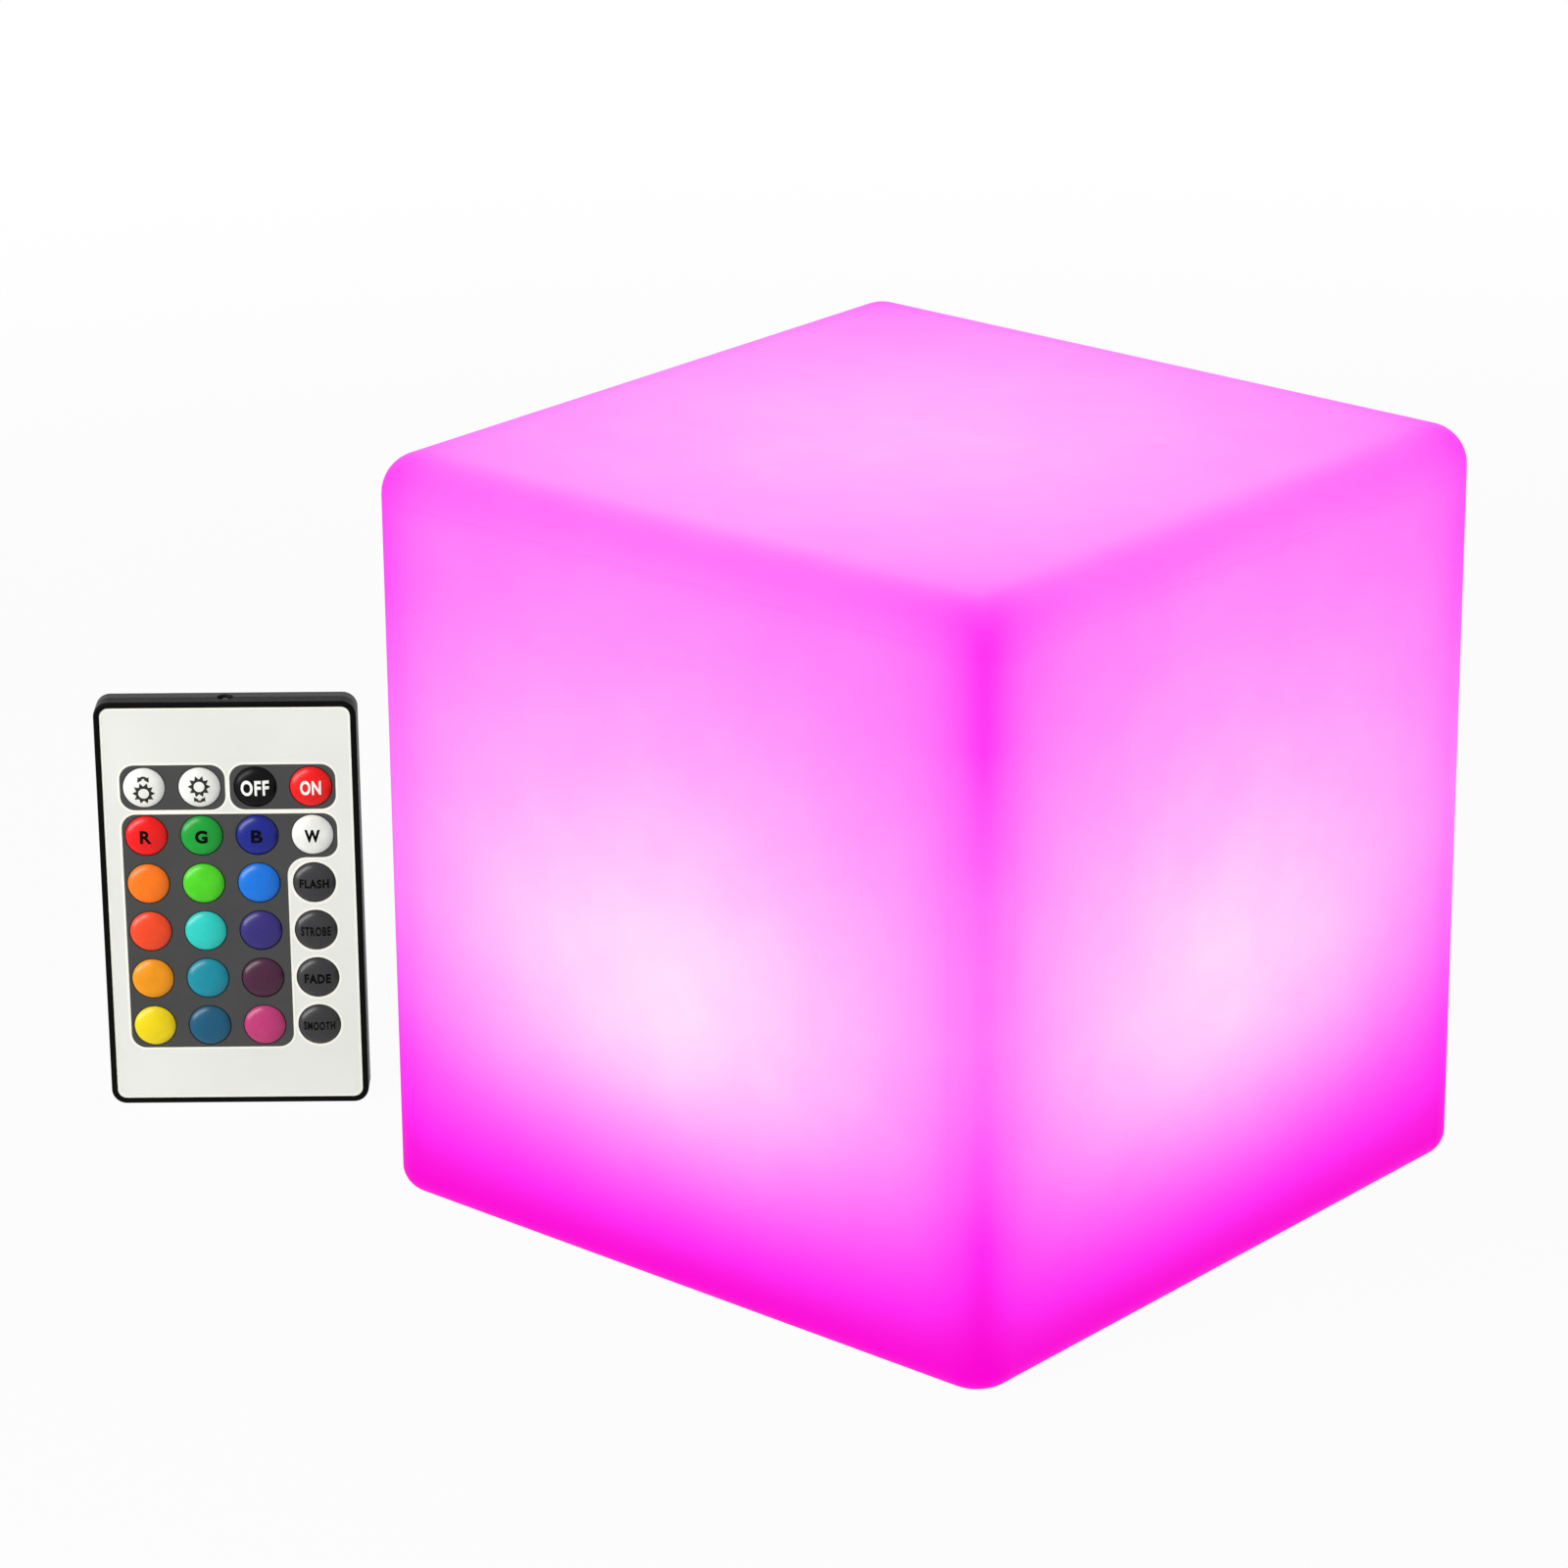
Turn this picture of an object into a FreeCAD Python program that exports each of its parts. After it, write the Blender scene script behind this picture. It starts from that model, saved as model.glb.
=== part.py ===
import FreeCAD, Part
import math
import os

from FreeCAD import Placement, Rotation, Vector

# Colour-changing cube light with a flat key remote beside it. Millimetres, +Z up. The origin is the middle
# of the cube's underside, on the surface that both stand on. The remote stands upright off the cube's front
# left corner, and its keys face forwards and to the right.

# Cube shell, moulded in one piece
cube_side = 150.0
shell_wall = 3.0
edge_radius = 8.0  # outside radius of the upright and top edges
foot_radius = 5.0  # outside radius of the edges round the underside
ledge_width = 12.0  # ledge that the cover is screwed to
shell_boss_radius = 4.4
shell_boss_height = 8.0

# Cover in the underside
cover_inset = 1.5  # the cover's face lies this far above the surface the cube stands on
cover_thickness = 3.0
cover_gap = 0.5  # round the cover's rim
cover_rim_radius = 0.8
gasket_thickness = 1.0
gasket_margin = 0.6  # from the gasket's edges to the ledge's edges
base_screw_count = 6
base_screw_radius = 1.5
base_screw_length = 10.0
base_screw_head_radius = 2.8
base_screw_head_height = 1.6

# Small self-tapping screws inside
small_screw_radius = 1.1
small_screw_length = 6.0
small_screw_head_radius = 2.0
small_screw_head_height = 1.3
screw_play = 0.05  # between a screw and its hole
head_play = 0.25  # round a sunk screw head
slot_width = 0.6  # cross slot in a screw's head
slot_depth = 0.6
screw_wall = 1.7  # plastic round a screw's hole
tip_gap = 0.3  # hole left under a screw's tip
deck_tip_gap = 0.2
deck_hole_floor = 0.2  # plastic under a hole in the deck

# Inverted cup on the cover, which closes the electronics
cup_wall = 2.0
cup_gap = 2.0  # between the cup and the hole in the shell
deck_thickness = 3.0
deck_gap = 1.9  # between the deck and the tallest part under it
seal_width = 1.4
seal_depth = 1.0
seal_play = 0.1

# Control board and what stands on it
board_length = 44.0
board_width = 30.0
board_thickness = 1.6
board_corner_radius = 1.0
board_to_cell = 5.0
wall_clearance = 2.7  # from the corners of the board to the cup
near_post_to_end = 4.0  # from the board's left end, and its side by the cell, to one of its two screws
near_post_to_side = 3.5
far_post_to_end = 5.0  # from its right end and its far side to the other
far_post_to_side = 5.0
post_root = 0.5  # posts and ribs start this far inside the cover's face
socket_to_end = 5.5  # from the board's left end to the charging socket
socket_off_middle = 3.5
button_to_end = 14.0  # from the board's right end to the button
button_off_middle = 1.5
pipe_off_middle = 8.5
pipe_to_left = 1.5
capacitor_to_side = 3.0
connector_to_end = 0.5
connector_to_side = 2.5
lead_row_to_side = 1.5  # from the board's side to the leads that go up to the LED board
lead_slot_width = 3.0
chip_length = 4.9
chip_width = 3.9
chip_height = 1.5
chip_spacing = 9.0
transistor_length = 3.0
transistor_width = 1.4
transistor_height = 1.1
transistor_spacing = 5.0
capacitor_radius = 3.0
capacitor_gap = 2.0  # from the capacitor to the cover
charge_led_side = 1.6
charge_led_height = 0.8

# Charging socket, its port and its plug
socket_side = 9.0
socket_height = 9.5
socket_bore_radius = 2.85
socket_bore_depth = 8.0
socket_pin_radius = 1.0
port_radius = 4.4
plug_play = 0.08
plug_head_radius = 6.5
plug_head_depth = 1.2
plug_head_play = 0.3
plug_nose_length = 4.0
plug_finger_width = 6.0  # notch that a fingernail lifts the plug by
plug_finger_reach = 1.6
plug_finger_depth = 0.5

# Power button and its switch
button_radius = 5.0
button_play = 0.1
button_flange_width = 1.3
button_flange_thickness = 1.0
button_travel = 0.5
button_sink = 0.2  # the button's face lies this far inside the cover's
button_round = 0.6
stem_gap = 0.05  # left between the button's stem and the switch when the button is pressed home
button_seal_thickness = 0.4
button_dish_radius = 3.5
button_dish_depth = 0.4
switch_side = 6.0
switch_height = 3.4
switch_pocket_depth = 1.2
switch_stem_radius = 1.6
switch_stem_play = 0.15

# Charging light pipe
pipe_radius = 1.5
pipe_flange_width = 0.8
pipe_flange_thickness = 0.8
pipe_gap = 0.4  # from the pipe to the charging LED

# Lithium pouch cell on foam tape
cell_length = 40.0
cell_width = 30.0
cell_thickness = 10.0
cell_corner_radius = 2.5
cell_strip_thickness = 1.5
pad_thickness = 0.8
pad_width = 8.0
pad_inset = 4.0  # from the cell's sides to its pads and its protection strip
rib_play = 0.3  # between the cell and the ribs that hold it sideways
rib_thickness = 1.2
rib_length = 8.0
rib_off_middle = 1.0
rib_grip = 2.5
lead_radius = 0.6
lead_bend_radius = 4.0
lead_spacing = 1.8
connector_length = 6.0
connector_width = 6.0
connector_height = 5.0

# LED board under its dome
led_side = 5.0
led_height = 1.6
led_gap = 1.5  # from the outer LEDs' corners to the screw heads
outer_led_count = 12
inner_led_count = 4
inner_led_circle = 10.5
board_rim = 1.5  # from the LED board's edge to its screw heads
receiver_side = 6.0
receiver_height = 5.5
receiver_lens_radius = 2.4
dome_wall = 1.8
dome_flange_thickness = 2.0
dome_height = 11.0
dome_flange_width = 6.0
dome_rim_gap = 1.0  # from the dome's flange to the cup's outside
dome_clearance = 2.2  # from the LED board's edge to the dome
dome_seal_thickness = 0.8
dome_seal_margin = 0.8
head_room = 3.0  # kept free over the dome's screw heads

# Remote, in its own frame: X across its face, Y up its length, Z out of its face
remote_width = 52.0
remote_length = 86.0
remote_corner_radius = 3.0
remote_edge_radius = 0.8
remote_wall = 0.8
rim_width = 1.1
rim_step = 0.25  # the film lies this far below the rim
film_thickness = 0.25
key_radius = 4.15
key_columns = 4
key_rows = 6
column_gap = 2.75  # between neighbouring keys
row_gap = 1.92
first_row_drop = 17.9  # from the remote's top end to the first row
key_play = 0.2
key_height = 1.15  # above the film
key_round = 0.8
key_flange_width = 0.6
key_flange_thickness = 0.2
key_travel = 0.5
contact_radius = 2.0
contact_thickness = 0.1
contact_play = 0.02  # left under a key that is pressed home
remote_board_thickness = 0.6
remote_board_margin = 1.2
remote_board_top_gap = 7.5  # room for the infrared LED at the top end
remote_post_radius = 1.4
remote_post_x = 16.8
remote_post_heights = (38.7, 67.08)  # from the lower end
mat_margin = 1.0
mat_top_gap = 0.5
face_wall = 0.88

# What hangs under the remote's board: a chip in its resin blob, and its resonator
blob_sphere_radius = 6.0
blob_depth = 1.4
blob_x = -8.0
resonator_x = 6.5
resonator_length = 5.0
resonator_width = 3.0
resonator_height = 1.6

# Coin cell and its drawer
coin_radius = 10.0
coin_thickness = 2.5
coin_play = 0.2
coin_rim_width = 1.0
coin_rim_depth = 0.25
drawer_wall = 1.8
drawer_play = 0.15
drawer_sink = 0.1  # the drawer's end lies this far inside the remote's
drawer_end = 2.4  # from the remote's lower end to the coin cell's pocket
drawer_mouth = 15.0
drawer_rail_thickness = 1.0
finger_notch_radius = 3.0
finger_notch_depth = 0.5
contact_strip_thickness = 0.12
contact_strip_width = 4.0
contact_strip_low = 4.0  # ends of the upper strip, down and up from the middle of the cell
contact_strip_high = 6.0
contact_foot_length = 1.4

# Infrared LED
emitter_radius = 1.5
emitter_length = 7.0
emitter_sink = 0.3
emitter_play = 0.1
emitter_bore_length = 9.0
emitter_lead_width = 0.5
emitter_lead_spacing = 1.27
emitter_lead_lap = 2.5  # length of lead on the board

# Where the remote stands
remote_turn = 41.0  # its face is turned this far from the cube's left side
remote_gap = 56.4  # along X, from the cube's side to the middle of the remote's foot at its back
remote_back = 59.1  # along Y, from the cube's middle to the same point

over = 1.0  # cutters stand proud of what they cut by this much
tiny = 0.001

# Heights in the cube, from the surface up
cover_top = cover_inset + cover_thickness
ledge_height = cover_top + gasket_thickness
board_low = cover_top + socket_height
board_high = board_low + board_thickness
cell_low = cover_top + pad_thickness
cell_high = cell_low + cell_thickness
deck_low = max(cell_high, board_high + chip_height) + deck_gap
deck_high = deck_low + deck_thickness
led_board_high = deck_high + board_thickness
flange_low = deck_high + dome_seal_thickness
flange_high = flange_low + dome_flange_thickness

# Radii round the cube's upright axis
half_board_gap = board_to_cell / 2
board_corner = math.hypot(board_length / 2, half_board_gap + board_width)
cell_corner = math.hypot(cell_length / 2, half_board_gap + cell_width)
cup_inner_radius = max(board_corner, cell_corner) + wall_clearance
cup_outer_radius = cup_inner_radius + cup_wall
module_hole_radius = cup_outer_radius + cup_gap
recess_radius = module_hole_radius + ledge_width
base_screw_circle = module_hole_radius + ledge_width / 2
cup_post_radius = small_screw_radius + screw_wall
cup_screw_circle = cup_inner_radius - cup_post_radius + cup_wall / 4
dome_screw_circle = cup_inner_radius - small_screw_head_radius
dome_flange_radius = cup_outer_radius - dome_rim_gap
dome_outer_radius = dome_flange_radius - dome_flange_width
led_board_radius = dome_outer_radius - dome_wall - dome_clearance
led_screw_circle = led_board_radius - board_rim - small_screw_head_radius
outer_led_circle = led_screw_circle - small_screw_head_radius - led_gap - led_side / math.sqrt(2)
dome_sphere_radius = (dome_outer_radius ** 2 + dome_height ** 2) / (2 * dome_height)

# Places on the control board
board_middle = half_board_gap + board_width / 2
socket_x = -board_length / 2 + socket_side / 2 + socket_to_end
socket_y = board_middle - socket_off_middle
button_x = board_length / 2 - button_to_end
button_y = board_middle - button_off_middle
pipe_x = -pipe_to_left
pipe_y = board_middle + pipe_off_middle
capacitor_x = socket_x
capacitor_y = board_middle + board_width / 2 - capacitor_radius - capacitor_to_side
connector_x = board_length / 2 - connector_length / 2 - connector_to_end
connector_y = half_board_gap + connector_width / 2 + connector_to_side
board_posts = [
    (near_post_to_end - board_length / 2, half_board_gap + near_post_to_side),
    (board_length / 2 - far_post_to_end, half_board_gap + board_width - far_post_to_side),
]
lead_row_y = half_board_gap + lead_row_to_side

# Heights in the remote, from its back
drawer_low = remote_wall + 0.1
coin_low = drawer_low + 0.1
coin_high = coin_low + coin_thickness
drawer_high = coin_high + 0.1
remote_board_low = coin_high + contact_strip_thickness + 0.08
remote_board_high = remote_board_low + remote_board_thickness
key_flange_low = remote_board_high + contact_thickness + contact_play + key_travel
face_low = key_flange_low + key_flange_thickness
face_high = face_low + face_wall
film_high = face_high + film_thickness
remote_thickness = film_high + rim_step
case_split = remote_thickness / 2

# Places across the remote's face
column_pitch = 2 * key_radius + column_gap
row_pitch = 2 * key_radius + row_gap


def block(x0, x1, y0, y1, z0, z1):
    return Part.makeBox(x1 - x0, y1 - y0, z1 - z0, Vector(x0, y0, z0))


# Block centred on the upright axis
def standing_block(length, width, z0, z1):
    return block(-length / 2, length / 2, -width / 2, width / 2, z0, z1)


def rod(radius, z0, z1, x=0.0, y=0.0):
    return Part.makeCylinder(radius, z1 - z0, Vector(x, y, z0))


def ring(outer_radius, inner_radius, z0, z1, x=0.0, y=0.0):
    return rod(outer_radius, z0, z1, x, y).cut(rod(inner_radius, z0 - over, z1 + over, x, y))


# Cutters for the same hole at each of several places
def rods(radius, z0, z1, places):
    return [rod(radius, z0, z1, x, y) for x, y in places]


# Places on a circle round the upright axis
def on_circle(count, radius, first_angle):
    turns = [math.radians(first_angle + 360.0 * i / count) for i in range(count)]
    return [(radius * math.cos(turn), radius * math.sin(turn)) for turn in turns]


def upright_edges(solid):
    return [
        edge
        for edge in solid.Edges
        if len(edge.Vertexes) == 2
        and abs(edge.Vertexes[0].X - edge.Vertexes[1].X) < tiny
        and abs(edge.Vertexes[0].Y - edge.Vertexes[1].Y) < tiny
    ]


def edges_at_height(solid, height):
    return [edge for edge in solid.Edges if all(abs(vertex.Z - height) < tiny for vertex in edge.Vertexes)]


def rounded_slab(x0, x1, y0, y1, z0, z1, corner_radius):
    slab = block(x0, x1, y0, y1, z0, z1)
    return slab.makeFillet(corner_radius, upright_edges(slab))


def cut_all(solid, cutters):
    return solid.cut(Part.makeCompound(cutters)) if cutters else solid


# Pan-head screw whose head lies on the plane z = seat; the shank runs down, or up when turned over
def screw(x, y, seat, shank_up, radius, length, head_radius, head_height):
    head = rod(head_radius, 0.0, head_height)
    head = head.makeFillet(head_height / 3, edges_at_height(head, head_height))
    half = slot_width / 2
    reach = head_radius * 0.6
    cross = [
        block(-reach, reach, -half, half, head_height - slot_depth, head_height + over),
        block(-half, half, -reach, reach, head_height - slot_depth, head_height + over),
    ]
    shank = rod(radius, -length, 0.0)
    shank = shank.makeChamfer(radius / 3, edges_at_height(shank, -length))
    body = cut_all(head.fuse(shank), cross).removeSplitter()
    if shank_up:
        body.Placement = Placement(Vector(), Rotation(Vector(1, 0, 0), 180))
    body.translate(Vector(x, y, seat))
    return body


def small_screw(x, y, seat, shank_up=False):
    head = (small_screw_head_radius, small_screw_head_height)
    return screw(x, y, seat, shank_up, small_screw_radius, small_screw_length, *head)


def wire_along(points, bend_radius, radius):
    edges = []
    here = points[0]
    for corner, after in zip(points[1:-1], points[2:]):
        arrive = (corner - here).normalize()
        leave = (after - corner).normalize()
        turn = arrive.getAngle(leave)
        back = bend_radius * math.tan(turn / 2)
        start = corner - arrive * back
        end = corner + leave * back
        inward = (leave - arrive).normalize()
        middle = corner + inward * (bend_radius / math.cos(turn / 2) - bend_radius)
        edges.append(Part.LineSegment(here, start).toShape())
        edges.append(Part.Arc(start, middle, end).toShape())
        here = end
    edges.append(Part.LineSegment(here, points[-1]).toShape())
    path = Part.Wire(edges)
    section = Part.Wire([Part.makeCircle(radius, points[0], points[1] - points[0])])
    return path.makePipeShell([section], True, False)


# ---- Cube ----

base_screw_places = on_circle(base_screw_count, base_screw_circle, 30.0)
cup_screw_places = on_circle(4, cup_screw_circle, 45.0)
led_screw_places = on_circle(3, led_screw_circle, 30.0)
dome_screw_places = on_circle(4, dome_screw_circle, 0.0)


def rounded_cube(inset):
    half = cube_side / 2 - inset
    low = inset
    high = cube_side - inset
    body = block(-half, half, -half, half, low, high)
    foot_edges = edges_at_height(body, low)
    other_edges = [edge for edge in body.Edges if not any(edge.isSame(foot) for foot in foot_edges)]
    body = body.makeFillet(edge_radius - inset, other_edges)
    return body.makeFillet(foot_radius - inset, edges_at_height(body, low))


def make_shell():
    ledge_high = ledge_height + shell_wall
    shell = rounded_cube(0.0).cut(rounded_cube(shell_wall))
    shell = shell.fuse(rod(recess_radius + shell_wall, 0.0, ledge_high))
    boss_top = ledge_high + shell_boss_height
    for x, y in base_screw_places:
        shell = shell.fuse(rod(shell_boss_radius, ledge_height, boss_top, x, y))
    cutters = [
        rod(recess_radius, -over, ledge_height),
        rod(module_hole_radius, -over, ledge_high + over),
    ]
    tip = cover_inset + base_screw_head_height + base_screw_length + 0.5
    for x, y in base_screw_places:
        cutters.append(rod(base_screw_radius + screw_play, ledge_height - over, tip, x, y))
    shell = cut_all(shell, cutters).removeSplitter()
    mouth = [
        edge
        for edge in edges_at_height(shell, 0.0)
        if hasattr(edge.Curve, "Radius") and abs(edge.Curve.Radius - recess_radius) < tiny
    ]
    return shell.makeFillet(shell_wall / 3, mouth)


def make_cover():
    rim = recess_radius - cover_gap
    cover = rod(rim, cover_inset, cover_top)
    cover = cover.makeFillet(cover_rim_radius, edges_at_height(cover, cover_inset))
    for x, y in board_posts:
        cover = cover.fuse(rod(small_screw_radius + screw_wall, cover_inset + post_root, board_low, x, y))
    # Low ribs that hold the cell sideways
    rib_middle_x = cell_length / 2 + rib_play + rib_thickness / 2
    rib_middle_y = -half_board_gap - cell_width / 2 - rib_off_middle
    for side in (-1, 1):
        rib = standing_block(rib_thickness, rib_length, cover_inset + post_root, cell_low + rib_grip)
        rib.translate(Vector(side * rib_middle_x, rib_middle_y, 0))
        cover = cover.fuse(rib)
    low = cover_inset - over
    high = cover_top + over
    seat = cover_inset + base_screw_head_height
    small_seat = cover_inset + small_screw_head_height
    post_hole_low = board_high - small_screw_length - tip_gap
    cutters = rods(base_screw_radius + head_play, low, high, base_screw_places)
    cutters += rods(base_screw_head_radius + head_play, low, seat, base_screw_places)
    cutters += rods(small_screw_radius + head_play, low, high, cup_screw_places)
    cutters += rods(small_screw_head_radius + head_play, low, small_seat, cup_screw_places)
    cutters += rods(small_screw_radius + screw_play, post_hole_low, board_low + over, board_posts)
    # Charging port, with a sunk seat for the plug's head
    seat_radius = plug_head_radius + plug_head_play
    cutters.append(rod(port_radius, low, high, socket_x, socket_y))
    cutters.append(rod(seat_radius, low, cover_inset + plug_head_depth, socket_x, socket_y))
    cutters.append(rod(button_radius + button_play, low, high, button_x, button_y))
    cutters.append(rod(pipe_radius + screw_play, low, high, pipe_x, pipe_y))
    outer = cup_outer_radius - (cup_wall - seal_width) / 2
    cutters.append(ring(outer, outer - seal_width, cover_top - seal_depth, cover_top + over))
    return cut_all(cover, cutters).removeSplitter()


def make_base_gasket():
    outer = recess_radius - gasket_margin
    inner = module_hole_radius + gasket_margin
    gasket = ring(outer, inner, cover_top, ledge_height)
    holes = rods(base_screw_radius + head_play, cover_top - over, ledge_height + over, base_screw_places)
    return cut_all(gasket, holes)


def make_base_screws():
    seat = cover_inset + base_screw_head_height
    sizes = (base_screw_radius, base_screw_length, base_screw_head_radius, base_screw_head_height)
    return Part.makeCompound([screw(x, y, seat, True, *sizes) for x, y in base_screw_places])


def make_housing():
    cup = rod(cup_outer_radius, cover_top, deck_high).cut(rod(cup_inner_radius, cover_top - over, deck_low))
    hole_radius = small_screw_radius + screw_play
    cup_tip = cover_inset + small_screw_head_height + small_screw_length + tip_gap
    led_tip = led_board_high - small_screw_length - deck_tip_gap
    dome_tip = flange_high - small_screw_length - deck_tip_gap
    boss_low = min(deck_low, led_tip - deck_hole_floor)
    for x, y in cup_screw_places:
        cup = cup.fuse(rod(cup_post_radius, cover_top, deck_low + over, x, y))
    for x, y in led_screw_places + dome_screw_places:
        cup = cup.fuse(rod(cup_post_radius, boss_low, deck_low + over, x, y))
    cutters = rods(hole_radius, cover_top - over, cup_tip, cup_screw_places)
    cutters += rods(hole_radius, led_tip, deck_high + over, led_screw_places)
    cutters += rods(hole_radius, dome_tip, deck_high + over, dome_screw_places)
    # Slot for the leads to the LED board
    half = 2 * lead_spacing + 2 * lead_radius
    near = lead_row_y - lead_slot_width / 2
    far = lead_row_y + lead_slot_width / 2
    cutters.append(block(-half, half, near, far, deck_low - over, deck_high + over))
    return cut_all(cup, cutters).removeSplitter()


def make_housing_seal():
    outer = cup_outer_radius - (cup_wall - seal_width) / 2 - seal_play
    inner = outer - seal_width + 2 * seal_play
    return ring(outer, inner, cover_top - seal_depth, cover_top)


def make_module_screws():
    screws = []
    for x, y in cup_screw_places:
        screws.append(small_screw(x, y, cover_inset + small_screw_head_height, True))
    for x, y in led_screw_places:
        screws.append(small_screw(x, y, led_board_high))
    for x, y in dome_screw_places:
        screws.append(small_screw(x, y, flange_high))
    for x, y in board_posts:
        screws.append(small_screw(x, y, board_high))
    return Part.makeCompound(screws)


def make_led_board():
    board = rod(led_board_radius, deck_high, led_board_high)
    hole_radius = small_screw_radius + head_play
    return cut_all(board, rods(hole_radius, deck_high - over, led_board_high + over, led_screw_places))


def make_leds():
    leds = []
    rings = [(outer_led_count, outer_led_circle), (inner_led_count, inner_led_circle)]
    for count, radius in rings:
        for x, y in on_circle(count, radius, 180.0 / count):
            led = standing_block(led_side, led_side, led_board_high, led_board_high + led_height)
            well_low = led_board_high + led_height / 2
            well = Part.makeCone(led_side * 0.3, led_side * 0.4, led_height / 2, Vector(0, 0, well_low))
            led = led.cut(well)
            led.translate(Vector(x, y, 0))
            leds.append(led)
    return Part.makeCompound(leds)


def make_receiver():
    body = standing_block(receiver_side, receiver_side, led_board_high, led_board_high + receiver_height)
    body = body.makeChamfer(0.5, edges_at_height(body, led_board_high + receiver_height))
    lens = Part.makeSphere(receiver_lens_radius, Vector(0, 0, led_board_high + receiver_height - 1.0))
    return body.fuse(lens).removeSplitter()


# Spherical cap with its hollow and flange, spun from half its section
def make_dome():
    centre = flange_high + dome_height - dome_sphere_radius
    inner_sphere = dome_sphere_radius - dome_wall
    inner_radius = dome_outer_radius - dome_wall
    inner_rise = centre + math.sqrt(inner_sphere ** 2 - inner_radius ** 2)
    half_way = dome_outer_radius / 2
    outer_foot = Vector(dome_outer_radius, 0, flange_high)
    outer_half = Vector(half_way, 0, centre + math.sqrt(dome_sphere_radius ** 2 - half_way ** 2))
    outer_top = Vector(0, 0, flange_high + dome_height)
    inner_top = Vector(0, 0, centre + inner_sphere)
    inner_half = Vector(half_way, 0, centre + math.sqrt(inner_sphere ** 2 - half_way ** 2))
    inner_foot = Vector(inner_radius, 0, inner_rise)
    inner_low = Vector(inner_radius, 0, flange_low)
    flange_foot = Vector(dome_flange_radius, 0, flange_low)
    flange_edge = Vector(dome_flange_radius, 0, flange_high)
    edges = [
        Part.Arc(outer_foot, outer_half, outer_top).toShape(),
        Part.LineSegment(outer_top, inner_top).toShape(),
        Part.Arc(inner_top, inner_half, inner_foot).toShape(),
        Part.LineSegment(inner_foot, inner_low).toShape(),
        Part.LineSegment(inner_low, flange_foot).toShape(),
        Part.LineSegment(flange_foot, flange_edge).toShape(),
        Part.LineSegment(flange_edge, outer_foot).toShape(),
    ]
    dome = Part.Face(Part.Wire(edges)).revolve(Vector(), Vector(0, 0, 1), 360)
    holes = rods(small_screw_radius + head_play, flange_low - over, flange_high + over, dome_screw_places)
    head_radius = small_screw_head_radius + head_play
    return cut_all(dome, holes + rods(head_radius, flange_high, flange_high + head_room, dome_screw_places))


def make_dome_seal():
    inner = dome_outer_radius - dome_wall + dome_seal_margin
    seal = ring(dome_flange_radius - dome_seal_margin / 2, inner, deck_high, flange_low)
    holes = rods(small_screw_radius + head_play, deck_high - over, flange_low + over, dome_screw_places)
    return cut_all(seal, holes)


def make_control_board():
    half = board_length / 2
    near = half_board_gap
    far = half_board_gap + board_width
    board = rounded_slab(-half, half, near, far, board_low, board_high, board_corner_radius)
    holes = rods(small_screw_radius + head_play, board_low - over, board_high + over, board_posts)
    return cut_all(board, holes)


def make_control_parts():
    parts = []
    chip_high = board_high + chip_height
    transistor_high = board_high + transistor_height
    for place in (-1, 0, 1):
        chip = standing_block(chip_length, chip_width, board_high, chip_high)
        chip.translate(Vector(place * chip_spacing, board_middle, 0))
        transistor = standing_block(transistor_length, transistor_width, board_high, transistor_high)
        transistor.translate(Vector(place * transistor_spacing, board_middle + board_width / 4, 0))
        parts += [chip, transistor]
    capacitor_low = cover_top + capacitor_gap
    capacitor = rod(capacitor_radius, capacitor_low, board_low, capacitor_x, capacitor_y)
    parts.append(capacitor.makeFillet(capacitor_radius / 6, edges_at_height(capacitor, capacitor_low)))
    charge_led = standing_block(charge_led_side, charge_led_side, board_low - charge_led_height, board_low)
    charge_led.translate(Vector(pipe_x, pipe_y, 0))
    parts.append(charge_led)
    return Part.makeCompound(parts)


def make_switch():
    low = board_low - switch_height
    body = standing_block(switch_side, switch_side, low, board_low)
    body.translate(Vector(button_x, button_y, 0))
    pocket_radius = switch_stem_radius + switch_stem_play
    return body.cut(rod(pocket_radius, low - over, low + switch_pocket_depth, button_x, button_y))


# Round button with a dished face, a flange that keeps it in and a stem that reaches the switch
def make_button():
    face = cover_inset + button_sink
    flange_low_z = cover_top + button_seal_thickness
    flange_high_z = flange_low_z + button_flange_thickness
    stem_high = board_low - switch_height + switch_pocket_depth - button_travel - stem_gap
    cap = rod(button_radius, face, flange_high_z, button_x, button_y)
    cap = cap.makeFillet(button_round, edges_at_height(cap, face))
    flange = rod(button_radius + button_flange_width, flange_low_z, flange_high_z, button_x, button_y)
    stem = rod(switch_stem_radius, flange_low_z, stem_high, button_x, button_y)
    sphere_radius = (button_dish_radius ** 2 + button_dish_depth ** 2) / (2 * button_dish_depth)
    sphere_middle = Vector(button_x, button_y, face + button_dish_depth - sphere_radius)
    dish = Part.makeSphere(sphere_radius, sphere_middle)
    return cap.fuse([flange, stem]).cut(dish).removeSplitter()


def make_button_seal():
    outer = button_radius + button_flange_width
    inner = button_radius + 3 * button_play
    return ring(outer, inner, cover_top, cover_top + button_seal_thickness, button_x, button_y)


def make_socket():
    body = standing_block(socket_side, socket_side, cover_top, board_low)
    body.translate(Vector(socket_x, socket_y, 0))
    bore = rod(socket_bore_radius, cover_top - over, cover_top + socket_bore_depth, socket_x, socket_y)
    pin_top = cover_top + socket_bore_depth + over
    pin = rod(socket_pin_radius, cover_top + 1.0, pin_top, socket_x, socket_y)
    pin = pin.makeFillet(socket_pin_radius * 0.6, edges_at_height(pin, cover_top + 1.0))
    return body.cut(bore).fuse(pin).removeSplitter()


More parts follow.
